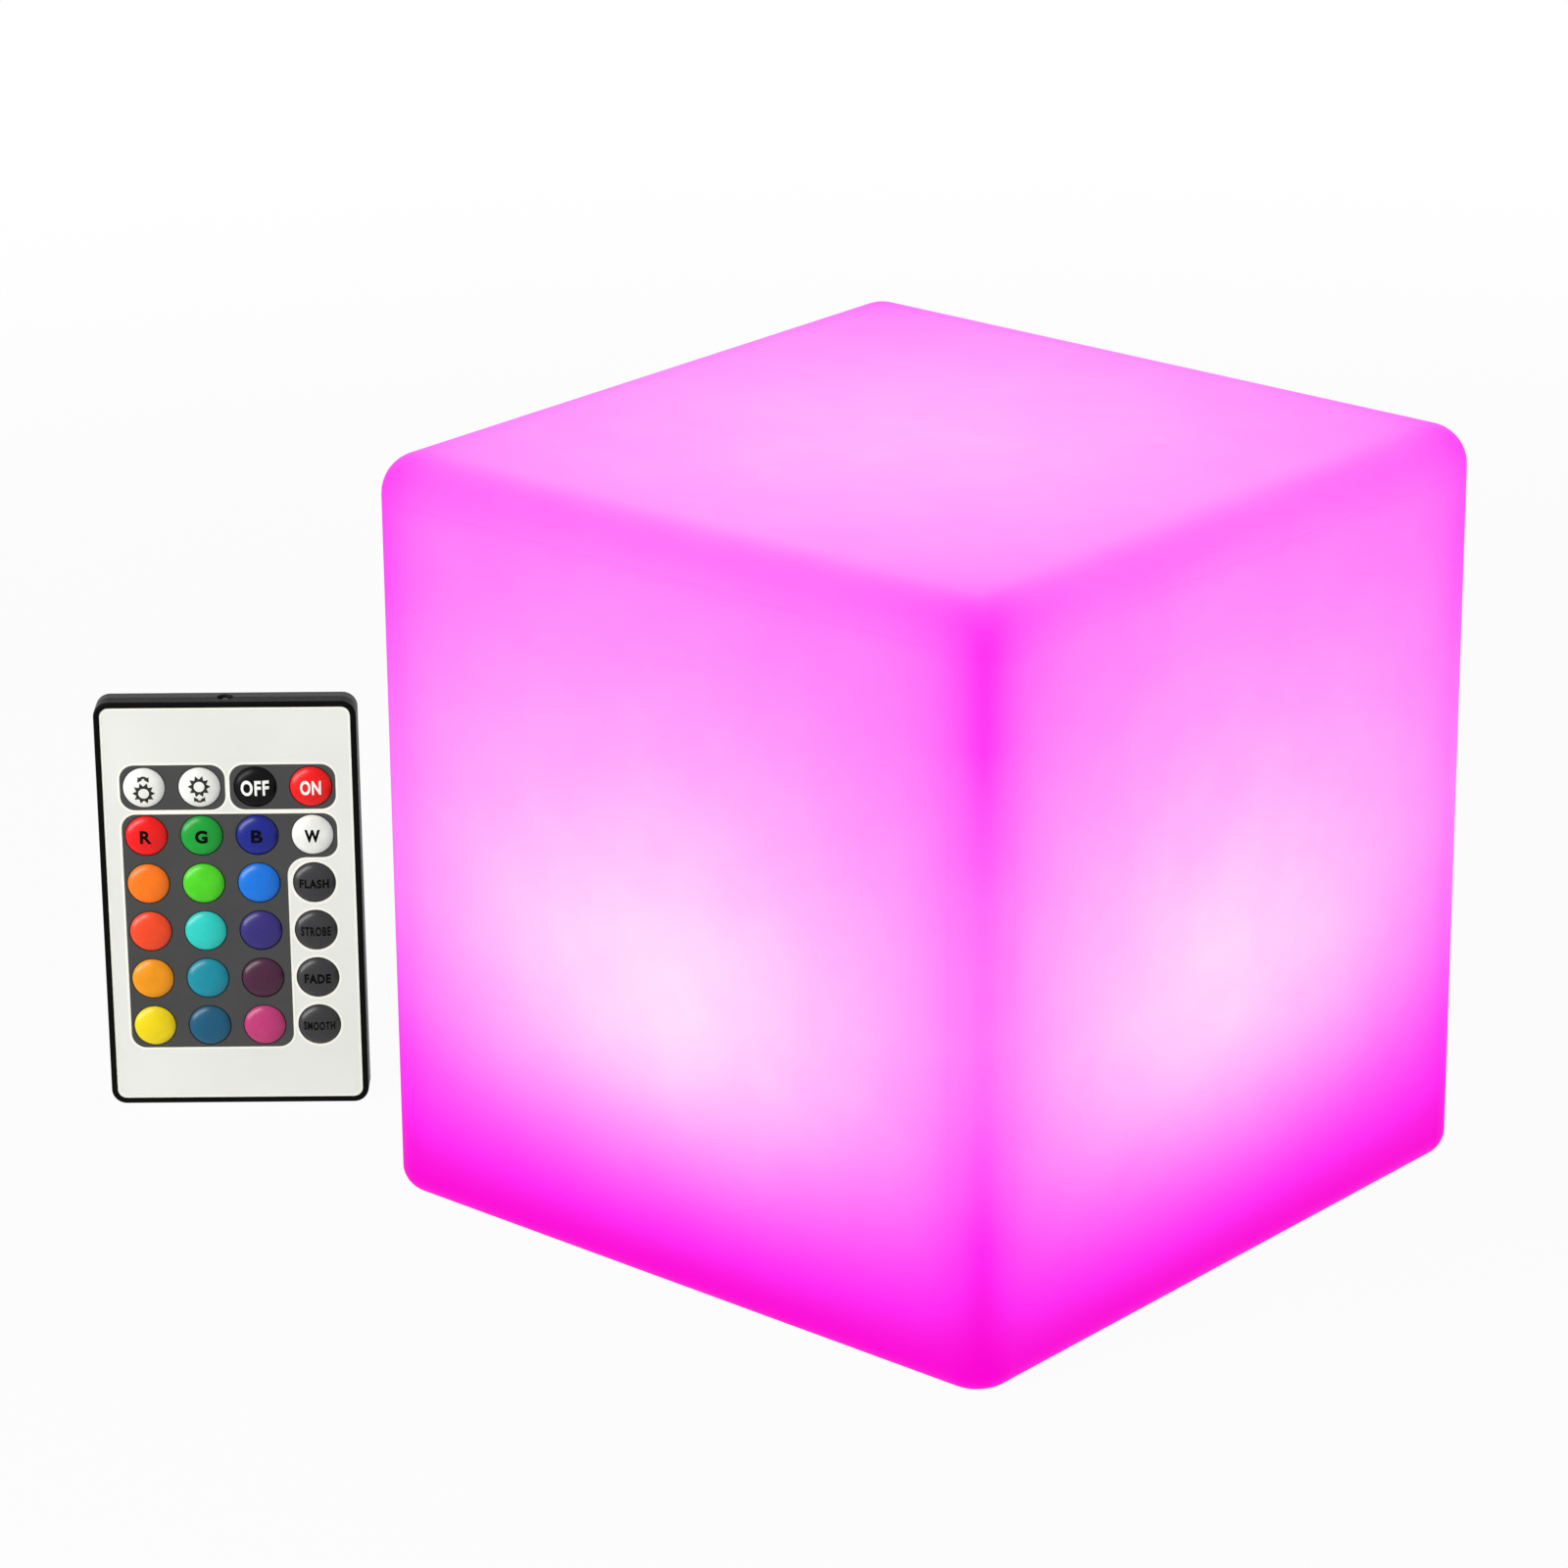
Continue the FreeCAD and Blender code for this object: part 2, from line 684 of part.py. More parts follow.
# Rubber plug: a head flush with the cover, a shank in the port and a hollow nose in the socket's bore
def make_port_plug():
    head_low = cover_inset + 0.1
    head_high = cover_inset + plug_head_depth
    head = rod(plug_head_radius, head_low, head_high, socket_x, socket_y)
    head = head.makeFillet(0.3, edges_at_height(head, head_low))
    shank = rod(port_radius - plug_play, head_high, cover_top - 0.1, socket_x, socket_y)
    nose = rod(socket_bore_radius - plug_play, head_high, cover_top + plug_nose_length, socket_x, socket_y)
    plug = head.fuse([shank, nose])
    hollow_radius = socket_pin_radius + 3 * plug_play
    hollow = rod(hollow_radius, cover_top, cover_top + plug_nose_length + over, socket_x, socket_y)
    finger = block(
        socket_x - plug_finger_width / 2,
        socket_x + plug_finger_width / 2,
        socket_y - plug_head_radius - over,
        socket_y - plug_head_radius + plug_finger_reach,
        head_low - over,
        head_low + plug_finger_depth,
    )
    return plug.cut(hollow).cut(finger).removeSplitter()


def make_light_pipe():
    pipe = rod(pipe_radius, cover_inset + 0.1, board_low - charge_led_height - pipe_gap, pipe_x, pipe_y)
    flange_radius = pipe_radius + pipe_flange_width
    flange = rod(flange_radius, cover_top, cover_top + pipe_flange_thickness, pipe_x, pipe_y)
    return pipe.fuse(flange).removeSplitter()


def make_cell():
    half = cell_length / 2
    far = -half_board_gap - cell_width
    strip_x = half - cell_strip_thickness
    pouch = rounded_slab(-half, strip_x, far, -half_board_gap, cell_low, cell_high, cell_corner_radius)
    rims = edges_at_height(pouch, cell_low) + edges_at_height(pouch, cell_high)
    pouch = pouch.makeFillet(1.5, rims)
    near = -half_board_gap - pad_inset
    strip_low = cell_low + cell_thickness / 5
    strip_high = cell_high - cell_thickness / 5
    strip = block(strip_x, half, far + pad_inset, near, strip_low, strip_high)
    return Part.makeCompound([pouch, strip])


def make_cell_pads():
    reach = cell_length / 2 - pad_inset - pad_width / 2
    pads = []
    for side in (-1, 1):
        pad = standing_block(pad_width, cell_width - 2 * pad_inset, cover_top, cell_low)
        pad.translate(Vector(side * reach, -half_board_gap - cell_width / 2, 0))
        pads.append(pad)
    return Part.makeCompound(pads)


def make_battery_leads():
    start_x = cell_length / 2
    end_x = connector_x + connector_length / 2
    out_x = max(start_x, end_x) + 1.4 * lead_bend_radius
    start_y = -half_board_gap - cell_width / 2 + 5.5
    middle_z = board_low - connector_height / 2
    leads = []
    for side in (-1, 1):
        z = middle_z + side * lead_spacing / 2
        route = [
            Vector(start_x, start_y, z),
            Vector(out_x, start_y, z),
            Vector(out_x, connector_y, z),
            Vector(end_x, connector_y, z),
        ]
        leads.append(wire_along(route, lead_bend_radius, lead_radius))
    return Part.makeCompound(leads)


def make_connector():
    connector = standing_block(connector_length, connector_width, board_low - connector_height, board_low)
    connector.translate(Vector(connector_x, connector_y, 0))
    return connector


def make_led_leads():
    places = [(i - 2) * lead_spacing for i in range(5)]
    return Part.makeCompound([rod(lead_radius, board_high, deck_high, x, lead_row_y) for x in places])


# ---- Remote ----

column_places = [(i - (key_columns - 1) / 2) * column_pitch for i in range(key_columns)]
row_places = [remote_length - first_row_drop - i * row_pitch for i in range(key_rows)]
key_places = [(x, y) for y in row_places for x in column_places]
drawer_half_width = coin_radius + coin_play + drawer_wall
drawer_length = drawer_end + 2 * coin_radius
coin_y = drawer_end + coin_radius
emitter_z = remote_thickness / 2
board_top_end = remote_length - remote_board_top_gap
board_half_width = remote_width / 2 - remote_wall - remote_board_margin


# Stands the remote on its lower end and turns it about the upright axis, with its back at the foot's place
def stand_remote(shape):
    across = math.radians(remote_turn)
    turned = FreeCAD.Matrix(
        math.cos(across), 0, math.sin(across), 0,
        math.sin(across), 0, -math.cos(across), 0,
        0, 1, 0, 0,
        0, 0, 0, 1,
    )
    stood = shape.copy()
    foot = Vector(-cube_side / 2 - remote_gap, -remote_back, 0)
    turned.move(foot)
    stood.Placement = Placement(turned).multiply(shape.Placement)
    return stood


# Outline of the remote, drawn in from its edges by an inset
def remote_slab(z0, z1, inset=0.0):
    half = remote_width / 2 - inset
    corner_radius = remote_corner_radius - min(inset, remote_corner_radius / 2)
    return rounded_slab(-half, half, inset, remote_length - inset, z0, z1, corner_radius)


def key_holes(radius, z0, z1):
    return rods(radius, z0, z1, key_places)


def emitter_bore():
    start = Vector(0, remote_length - emitter_bore_length, emitter_z)
    length = emitter_bore_length + over
    return Part.makeCylinder(emitter_radius + emitter_play, length, start, Vector(0, 1, 0))


def drawer_slot(z0, z1):
    half = drawer_half_width + drawer_play
    return block(-half, half, -over, drawer_length + 2.0, z0, z1)


def make_remote_back():
    case = remote_slab(0.0, case_split)
    case = case.makeFillet(remote_edge_radius, edges_at_height(case, 0.0))
    case = case.cut(remote_slab(remote_wall, case_split + over, remote_wall))
    # Rails each side of the drawer, and posts that carry the board
    root = remote_wall / 2
    rail_middle = drawer_half_width + drawer_play + drawer_rail_thickness / 2
    for side in (-1, 1):
        left = side * rail_middle - drawer_rail_thickness / 2
        right = side * rail_middle + drawer_rail_thickness / 2
        case = case.fuse(block(left, right, remote_wall, drawer_length, root, remote_board_low))
        for y in remote_post_heights:
            case = case.fuse(rod(remote_post_radius, root, remote_board_low, side * remote_post_x, y))
    case = case.cut(drawer_slot(remote_wall, case_split + over)).cut(emitter_bore())
    return case.removeSplitter()


def make_remote_front():
    case = remote_slab(case_split, remote_thickness)
    case = case.makeFillet(remote_edge_radius / 2, edges_at_height(case, remote_thickness))
    case = case.cut(remote_slab(case_split - over, face_low, remote_wall))
    case = case.cut(remote_slab(face_high, remote_thickness + over, rim_width))
    case = cut_all(case, key_holes(key_radius + key_play, face_low - over, remote_thickness + over))
    half = drawer_half_width + drawer_play
    end_cut = block(-half, half, -over, remote_wall + over, case_split - over, drawer_high + drawer_play)
    return case.cut(end_cut).cut(emitter_bore()).removeSplitter()


def make_face_film():
    film = remote_slab(face_high, film_high, rim_width + 0.1)
    return cut_all(film, key_holes(key_radius + key_play, face_high - over, film_high + over))


def make_keypad_mat():
    mat = remote_slab(remote_board_high, face_low, remote_wall + mat_margin)
    mat_end = board_top_end - mat_top_gap
    mat = mat.cut(block(-remote_width, remote_width, mat_end, remote_length + over, 0.0, remote_thickness))
    hole_radius = key_radius + key_flange_width + key_play
    return cut_all(mat, key_holes(hole_radius, remote_board_high - over, face_low + over))


# Low round key with a soft edge, standing on a thin skirt behind the face
def make_key(x, y):
    top = film_high + key_height
    cap = rod(key_radius, key_flange_low, top, x, y)
    cap = cap.makeFillet(key_round, edges_at_height(cap, top))
    skirt = rod(key_radius + key_flange_width, key_flange_low, face_low, x, y)
    return cap.fuse(skirt).removeSplitter()


def make_key_contacts():
    contact_high = remote_board_high + contact_thickness
    return Part.makeCompound(rods(contact_radius, remote_board_high, contact_high, key_places))


def make_remote_board():
    half = board_half_width
    low_end = remote_wall + remote_board_margin
    return rounded_slab(-half, half, low_end, board_top_end, remote_board_low, remote_board_high, 1.5)


def make_remote_chip():
    y = (drawer_length + board_top_end) / 2
    blob_middle = Vector(blob_x, y, remote_board_low + blob_sphere_radius - blob_depth)
    under_board = block(-remote_width, remote_width, 0.0, remote_length, 0.0, remote_board_low)
    blob = Part.makeSphere(blob_sphere_radius, blob_middle).common(under_board)
    resonator_low = remote_board_low - resonator_height
    resonator = standing_block(resonator_length, resonator_width, resonator_low, remote_board_low)
    resonator.translate(Vector(resonator_x, y, 0))
    return Part.makeCompound([blob, resonator])


def make_emitter():
    end = remote_length - emitter_sink
    start = end - emitter_length
    foot = Vector(0, start, emitter_z)
    body = Part.makeCylinder(emitter_radius, emitter_length - emitter_radius, foot, Vector(0, 1, 0))
    lens = Part.makeSphere(emitter_radius, Vector(0, end - emitter_radius, emitter_z))
    emitter = body.fuse(lens)
    lead_low = remote_board_low - emitter_lead_width
    lead_start = board_top_end - emitter_lead_lap
    lead_end = start + 0.5
    half = emitter_lead_width / 2
    for side in (-1, 1):
        x = side * emitter_lead_spacing / 2
        emitter = emitter.fuse(block(x - half, x + half, lead_start, lead_end, lead_low, remote_board_low))
    return emitter.removeSplitter()


def make_battery_contacts():
    half = contact_strip_width / 2
    strip_low = remote_board_low - contact_strip_thickness
    strip_start = coin_y - contact_strip_low
    strip_end = coin_y + contact_strip_high
    upper = block(-half, half, strip_start, strip_end, strip_low, remote_board_low)
    wall_y = coin_y + coin_radius + coin_play
    lower = block(-half, half, wall_y, wall_y + contact_strip_thickness, coin_low, remote_board_low)
    foot = block(-half, half, wall_y, wall_y + contact_foot_length, strip_low, remote_board_low)
    return Part.makeCompound([upper, lower.fuse(foot).removeSplitter()])


def make_coin_cell():
    cell = rod(coin_radius, coin_low, coin_high, 0.0, coin_y)
    rim_inner = coin_radius - coin_rim_width
    step = ring(coin_radius + over, rim_inner, coin_low - over, coin_low + coin_rim_depth, 0.0, coin_y)
    return cell.cut(step)


# Fork-shaped drawer, open at its inner end, with a finger notch in its outer end
def make_drawer():
    half = drawer_half_width
    low = drawer_low - over
    high = drawer_high + over
    drawer = block(-half, half, drawer_sink, drawer_length, drawer_low, drawer_high)
    pocket = rod(coin_radius + coin_play, low, high, 0.0, coin_y)
    mouth = block(-drawer_mouth / 2, drawer_mouth / 2, coin_y, drawer_length + over, low, high)
    notch_y = drawer_sink + finger_notch_depth - finger_notch_radius
    notch = Part.makeSphere(finger_notch_radius, Vector(0, notch_y, (drawer_low + drawer_high) / 2))
    return drawer.cut(pocket).cut(mouth).cut(notch).removeSplitter()


key_names = [
    ["brighter", "dimmer", "off", "on"],
    ["red", "green", "blue", "white"],
    ["orange", "lime", "azure", "flash"],
    ["vermilion", "turquoise", "indigo", "strobe"],
    ["amber", "teal", "plum", "fade"],
    ["yellow", "petrol", "pink", "smooth"],
]

cube_nodes = {
    "cube_shell": make_shell,
    "base_cover": make_cover,
    "base_gasket": make_base_gasket,
    "base_screws": make_base_screws,
    "module_housing": make_housing,
    "housing_seal": make_housing_seal,
    "module_screws": make_module_screws,
    "led_board": make_led_board,
    "rgb_leds": make_leds,
    "ir_receiver": make_receiver,
    "diffuser_dome": make_dome,
    "dome_seal": make_dome_seal,
    "control_board": make_control_board,
    "control_parts": make_control_parts,
    "power_switch": make_switch,
    "power_button": make_button,
    "button_seal": make_button_seal,
    "charging_socket": make_socket,
    "port_plug": make_port_plug,
    "charge_light_pipe": make_light_pipe,
    "battery_cell": make_cell,
    "battery_pads": make_cell_pads,
    "battery_leads": make_battery_leads,
    "battery_connector": make_connector,
    "led_leads": make_led_leads,
}

remote_nodes = {
    "remote_front_case": make_remote_front,
    "remote_back_case": make_remote_back,
    "remote_face_film": make_face_film,
    "keypad_mat": make_keypad_mat,
    "key_contacts": make_key_contacts,
    "remote_board": make_remote_board,
    "remote_chip": make_remote_chip,
    "ir_emitter": make_emitter,
    "battery_contacts": make_battery_contacts,
    "coin_cell": make_coin_cell,
    "battery_drawer": make_drawer,
}


def write_node(name, shape):
    if not shape.isValid():
        print("not valid:", name)
    shape.exportStep(os.path.join("parts", name + ".step"))
    box = shape.BoundBox
    volume = shape.Volume / 1000
    print(f"{name}: {len(shape.Solids)} solids, {volume:.3f} cm3, z {box.ZMin:.2f} to {box.ZMax:.2f}")


os.makedirs("parts", exist_ok=True)
for name, make in cube_nodes.items():
    write_node(name, make())
for name, make in remote_nodes.items():
    write_node(name, stand_remote(make()))
for row, y in zip(key_names, row_places):
    for name, x in zip(row, column_places):
        write_node("key_" + name, stand_remote(make_key(x, y)))
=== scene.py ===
import math

import bmesh
import bpy
from mathutils import Matrix, Vector


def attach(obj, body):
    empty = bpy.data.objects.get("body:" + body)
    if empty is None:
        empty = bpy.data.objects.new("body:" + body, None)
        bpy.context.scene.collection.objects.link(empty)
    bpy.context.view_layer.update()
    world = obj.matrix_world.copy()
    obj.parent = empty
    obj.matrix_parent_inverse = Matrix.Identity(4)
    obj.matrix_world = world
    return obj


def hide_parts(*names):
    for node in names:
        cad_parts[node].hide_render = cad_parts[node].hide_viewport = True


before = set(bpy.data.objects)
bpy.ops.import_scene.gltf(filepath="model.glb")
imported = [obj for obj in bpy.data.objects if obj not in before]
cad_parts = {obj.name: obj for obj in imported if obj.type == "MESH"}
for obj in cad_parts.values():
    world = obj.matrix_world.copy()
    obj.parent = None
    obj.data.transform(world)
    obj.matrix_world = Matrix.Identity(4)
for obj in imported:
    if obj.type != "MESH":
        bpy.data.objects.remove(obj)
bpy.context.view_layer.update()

# Glowing cube light with its key remote. Sizes in the dictionaries are millimetres, meshes are metres.
mm = 0.001
perMetre = 1000.0
mergeWithin = 1e-4  # corners nearer than this become one
sameWithin = 1e-3  # heights nearer than this are the same
roundSteps = 72  # sides of a full circle


def linear(hexColour):
    channels = [int(hexColour[i:i + 2], 16) / 255 for i in (1, 3, 5)]
    return [c / 12.92 if c <= 0.04045 else ((c + 0.055) / 1.055) ** 2.4 for c in channels] + [1.0]


def addNode(tree, kind, settings=None, inputs=None):
    node = tree.nodes.new(kind)
    for name, value in (settings or {}).items():
        setattr(node, name, value)
    for name, value in (inputs or {}).items():
        if isinstance(value, bpy.types.NodeSocket):
            tree.links.new(value, node.inputs[name])
        else:
            node.inputs[name].default_value = value
    return node


def setStops(ramp, stops):
    while len(ramp.color_ramp.elements) < len(stops):
        ramp.color_ramp.elements.new(1.0)
    for element, (position, hexColour) in zip(ramp.color_ramp.elements, stops):
        element.position = position
        element.color = linear(hexColour)


def emptyMaterial(name):
    material = bpy.data.materials.new(name)
    material.use_nodes = True
    material.node_tree.nodes.clear()
    return material, material.node_tree


# Camera, floor and light
view = {
    "position": (671.1, -815.5, 470.7),
    "aim": (-22.1, -16.4, 80.0),
    "roll": -0.46,  # degrees
    "lens": 134.45,
    "sensor": 36.0,
}

cameraData = bpy.data.cameras.new("camera")
cameraData.lens = view["lens"]
cameraData.sensor_width = view["sensor"]
camera = bpy.data.objects.new("camera", cameraData)
bpy.context.scene.collection.objects.link(camera)
look = Vector(view["aim"]) - Vector(view["position"])
turn = look.to_track_quat("-Z", "Y").to_matrix() @ Matrix.Rotation(math.radians(view["roll"]), 3, "Z")
camera.matrix_world = Matrix.Translation(Vector(view["position"]) * mm) @ turn.to_4x4()
bpy.context.scene.camera = camera

studio = {
    "floorSide": 14000.0,
    "floorColour": "#E6E6E6",
    "nearWhite": 0.95,  # share of plain white that the floor shows near the object; the rest takes shadow
    "nearReach": 350.0,
    "farReach": 900.0,
    "ambient": 0.34,
    "softboxAway": 1250.0,
    # lower and upper end of the strip: degrees round the object, 0 in front, and degrees up
    "softboxLow": (-24.0, 1.0),
    "softboxHigh": (16.0, 36.0),
    "softboxWide": 220.0,
    "softboxPower": 10.9,
}


# White as far as the eye, mirrors and glass go, but a plain surface to every other ray
def seenDirectly(tree):
    ray = addNode(tree, "ShaderNodeLightPath")
    first = addNode(tree, "ShaderNodeMath", {"operation": "MAXIMUM"},
                    {0: ray.outputs["Is Camera Ray"], 1: ray.outputs["Is Glossy Ray"]})
    return addNode(tree, "ShaderNodeMath", {"operation": "MAXIMUM"},
                   {0: first.outputs[0], 1: ray.outputs["Is Transmission Ray"]}).outputs[0]


floorMesh = bmesh.new()
bmesh.ops.create_grid(floorMesh, x_segments=1, y_segments=1, size=studio["floorSide"] * mm / 2)
floorData = bpy.data.meshes.new("floor")
floorMesh.to_mesh(floorData)
floorMesh.free()
floor = bpy.data.objects.new("floor", floorData)
bpy.context.scene.collection.objects.link(floor)

floorPaint, tree = emptyMaterial("matteWhiteSweep")
place = addNode(tree, "ShaderNodeTexCoord").outputs["Object"]
away = addNode(tree, "ShaderNodeVectorMath", {"operation": "LENGTH"}, {0: place})
share = addNode(tree, "ShaderNodeMapRange", {"interpolation_type": "SMOOTHSTEP"}, {
    "Value": away.outputs["Value"],
    "From Min": studio["nearReach"] * mm, "From Max": studio["farReach"] * mm,
    "To Min": studio["nearWhite"], "To Max": 1.0,
})
shown = addNode(tree, "ShaderNodeMath", {"operation": "MULTIPLY"},
                {0: share.outputs["Result"], 1: seenDirectly(tree)})
paint = addNode(tree, "ShaderNodeBsdfDiffuse", inputs={"Color": linear(studio["floorColour"])})
plainWhite = addNode(tree, "ShaderNodeEmission", inputs={"Color": linear("#FFFFFF"), "Strength": 1.0})
mixed = addNode(tree, "ShaderNodeMixShader",
                inputs={0: shown.outputs[0], 1: paint.outputs[0], 2: plainWhite.outputs[0]})
addNode(tree, "ShaderNodeOutputMaterial", inputs={"Surface": mixed.outputs[0]})
floorData.materials.append(floorPaint)

world = bpy.data.worlds.new("studio")
bpy.context.scene.world = world
world.use_nodes = True
world.node_tree.nodes.clear()
strength = addNode(world.node_tree, "ShaderNodeMapRange", inputs={
    "Value": seenDirectly(world.node_tree), "To Min": studio["ambient"], "To Max": 1.0,
})
sky = addNode(world.node_tree, "ShaderNodeBackground",
              inputs={"Color": linear("#FFFFFF"), "Strength": strength.outputs["Result"]})
addNode(world.node_tree, "ShaderNodeOutputWorld", inputs={"Surface": sky.outputs[0]})


def studioPoint(around, rise):
    around, rise = math.radians(around), math.radians(rise)
    towards = Vector((math.sin(around) * math.cos(rise), -math.cos(around) * math.cos(rise), math.sin(rise)))
    return towards * studio["softboxAway"] * mm


# A strip softbox that climbs from low on the left to high in front, so that each key shows it as a crescent
lowEnd = studioPoint(*studio["softboxLow"])
highEnd = studioPoint(*studio["softboxHigh"])
softboxData = bpy.data.lights.new("softbox", "AREA")
softboxData.shape = "RECTANGLE"
softboxData.size = studio["softboxWide"] * mm
softboxData.size_y = (highEnd - lowEnd).length
softboxData.energy = studio["softboxPower"]
softbox = bpy.data.objects.new("softbox", softboxData)
bpy.context.scene.collection.objects.link(softbox)
upwards = (highEnd - lowEnd).normalized()
outwards = (highEnd + lowEnd).normalized()
axes = Matrix((upwards.cross(outwards), upwards, outwards)).transposed()
softbox.matrix_world = Matrix.Translation((highEnd + lowEnd) / 2) @ axes.to_4x4()
bpy.context.scene.view_settings.view_transform = "Standard"
print("camera, floor and light are set")


# Materials
noiseSpan = (0.3, 0.7)  # nearly all values of a noise texture lie between these
shadeSpan = (0.35, 0.65)  # where one shade of a surface goes over into the other

# Rotation-moulded polyethylene, 3 mm thick and milky: light from the module low inside it soaks through,
# brightest where the wall is nearest, pure magenta where little gets out, at the foot and along the edges
shellGlow = {
    "side": 150.0,
    "source": (-2.1, -3.9, 34.7),  # where the light seems to come from
    "reach": 4536.0,  # brightness times square millimetres
    "room": 0.076,  # light that has bounced about inside
    # how wide the darker band along an edge is, how flat its middle is
    "uprightBand": (8.1, 1.12), "topBand": (7.3, 3.0),
    # share of the light lost there; on upright edges it is least at one height and grows above and below it
    "topLoss": 0.49, "leastLoss": 0.77, "leastLossHeight": 77.0, "lossGrowth": 1.08, "mostLoss": 1.2,
    # the dark foot: in the middle of a wall, and the change from there to its upright edges
    "footHeight": (45.8, 5.7), "footPower": (2.54, -0.47),
    "mottle": 14.0, "mottleShare": 0.05,  # uneven wall thickness, too faint on the real one to measure
    "pits": 1.6, "pitDepth": 0.03,  # the skin of a mould that is not polished
    "colours": [(0.0, "#F902D2"), (0.02, "#FE27F2"), (0.1, "#FE59F7"), (0.3, "#FE95FA"), (0.75, "#FFE1FC")],
    "unlit": "#1C0117", "roughness": (0.42, 0.6), "specular": 0.02,
}


# One at no distance, falling off to nothing
def bellRows(name, distance, width, flatness):
    return [
        (name, "DIVIDE", distance, width),
        (name, "POWER", name, flatness),
        (name, "MULTIPLY", name, -1.0),
        (name, "EXPONENT", name, 0.0),
    ]


# What is left of the light near the edge where two walls meet, told by the distance from each wall's outside
def edgeRows(name, fromOne, fromOther, loss, band):
    return [
        (name + "One", "MULTIPLY", fromOne, fromOne),
        (name + "Other", "MULTIPLY", fromOther, fromOther),
        (name, "ADD", name + "One", name + "Other"),
        (name, "SQRT", name, 0.0),
        *bellRows(name, name, *band),
        (name, "MULTIPLY", name, loss),
        (name, "SUBTRACT", 1.0, name),
        (name, "MAXIMUM", name, 0.0),
    ]


# A row is one sum: its name, what is done, and what to, each a number or the name of an earlier sum
def glowRows(glow):
    half = glow["side"] / 2
    return [
        # light straight from the source, and light that has bounced about
        ("light", "MAXIMUM", "facing", 0.0),
        ("light", "MULTIPLY", "light", glow["reach"]),
        ("light", "DIVIDE", "light", "squared"),
        ("light", "ADD", "light", glow["room"]),
        ("fromX", "SUBTRACT", half, "x"),
        ("fromY", "SUBTRACT", half, "y"),
        ("fromTop", "SUBTRACT", glow["side"], "z"),
        ("loss", "SUBTRACT", "z", glow["leastLossHeight"]),
        ("loss", "DIVIDE", "loss", half),
        ("loss", "MULTIPLY", "loss", "loss"),
        ("loss", "MULTIPLY", "loss", glow["lossGrowth"]),
        ("loss", "ADD", "loss", glow["leastLoss"]),
        ("loss", "MINIMUM", "loss", glow["mostLoss"]),
        *edgeRows("upright", "fromX", "fromY", "loss", glow["uprightBand"]),
        ("fromSide", "MINIMUM", "fromX", "fromY"),
        *edgeRows("top", "fromSide", "fromTop", glow["topLoss"], glow["topBand"]),
        # 0 in the middle of a wall, 1 at its upright edges
        ("xSquared", "MULTIPLY", "x", "x"),
        ("ySquared", "MULTIPLY", "y", "y"),
        ("towardsEdge", "ADD", "xSquared", "ySquared"),
        ("towardsEdge", "DIVIDE", "towardsEdge", half ** 2),
        ("towardsEdge", "SUBTRACT", "towardsEdge", 1.0),
        ("footHeight", "MULTIPLY", "towardsEdge", glow["footHeight"][1]),
        ("footHeight", "ADD", "footHeight", glow["footHeight"][0]),
        ("footPower", "MULTIPLY", "towardsEdge", glow["footPower"][1]),
        ("footPower", "ADD", "footPower", glow["footPower"][0]),
        *bellRows("foot", "z", "footHeight", "footPower"),
        ("foot", "SUBTRACT", 1.0, "foot"),
        ("light", "MULTIPLY", "light", "upright"),
        ("ends", "MULTIPLY", "top", "foot"),
        ("light", "MULTIPLY", "light", "ends"),
        ("light", "MULTIPLY", "light", "uneven"),
    ]


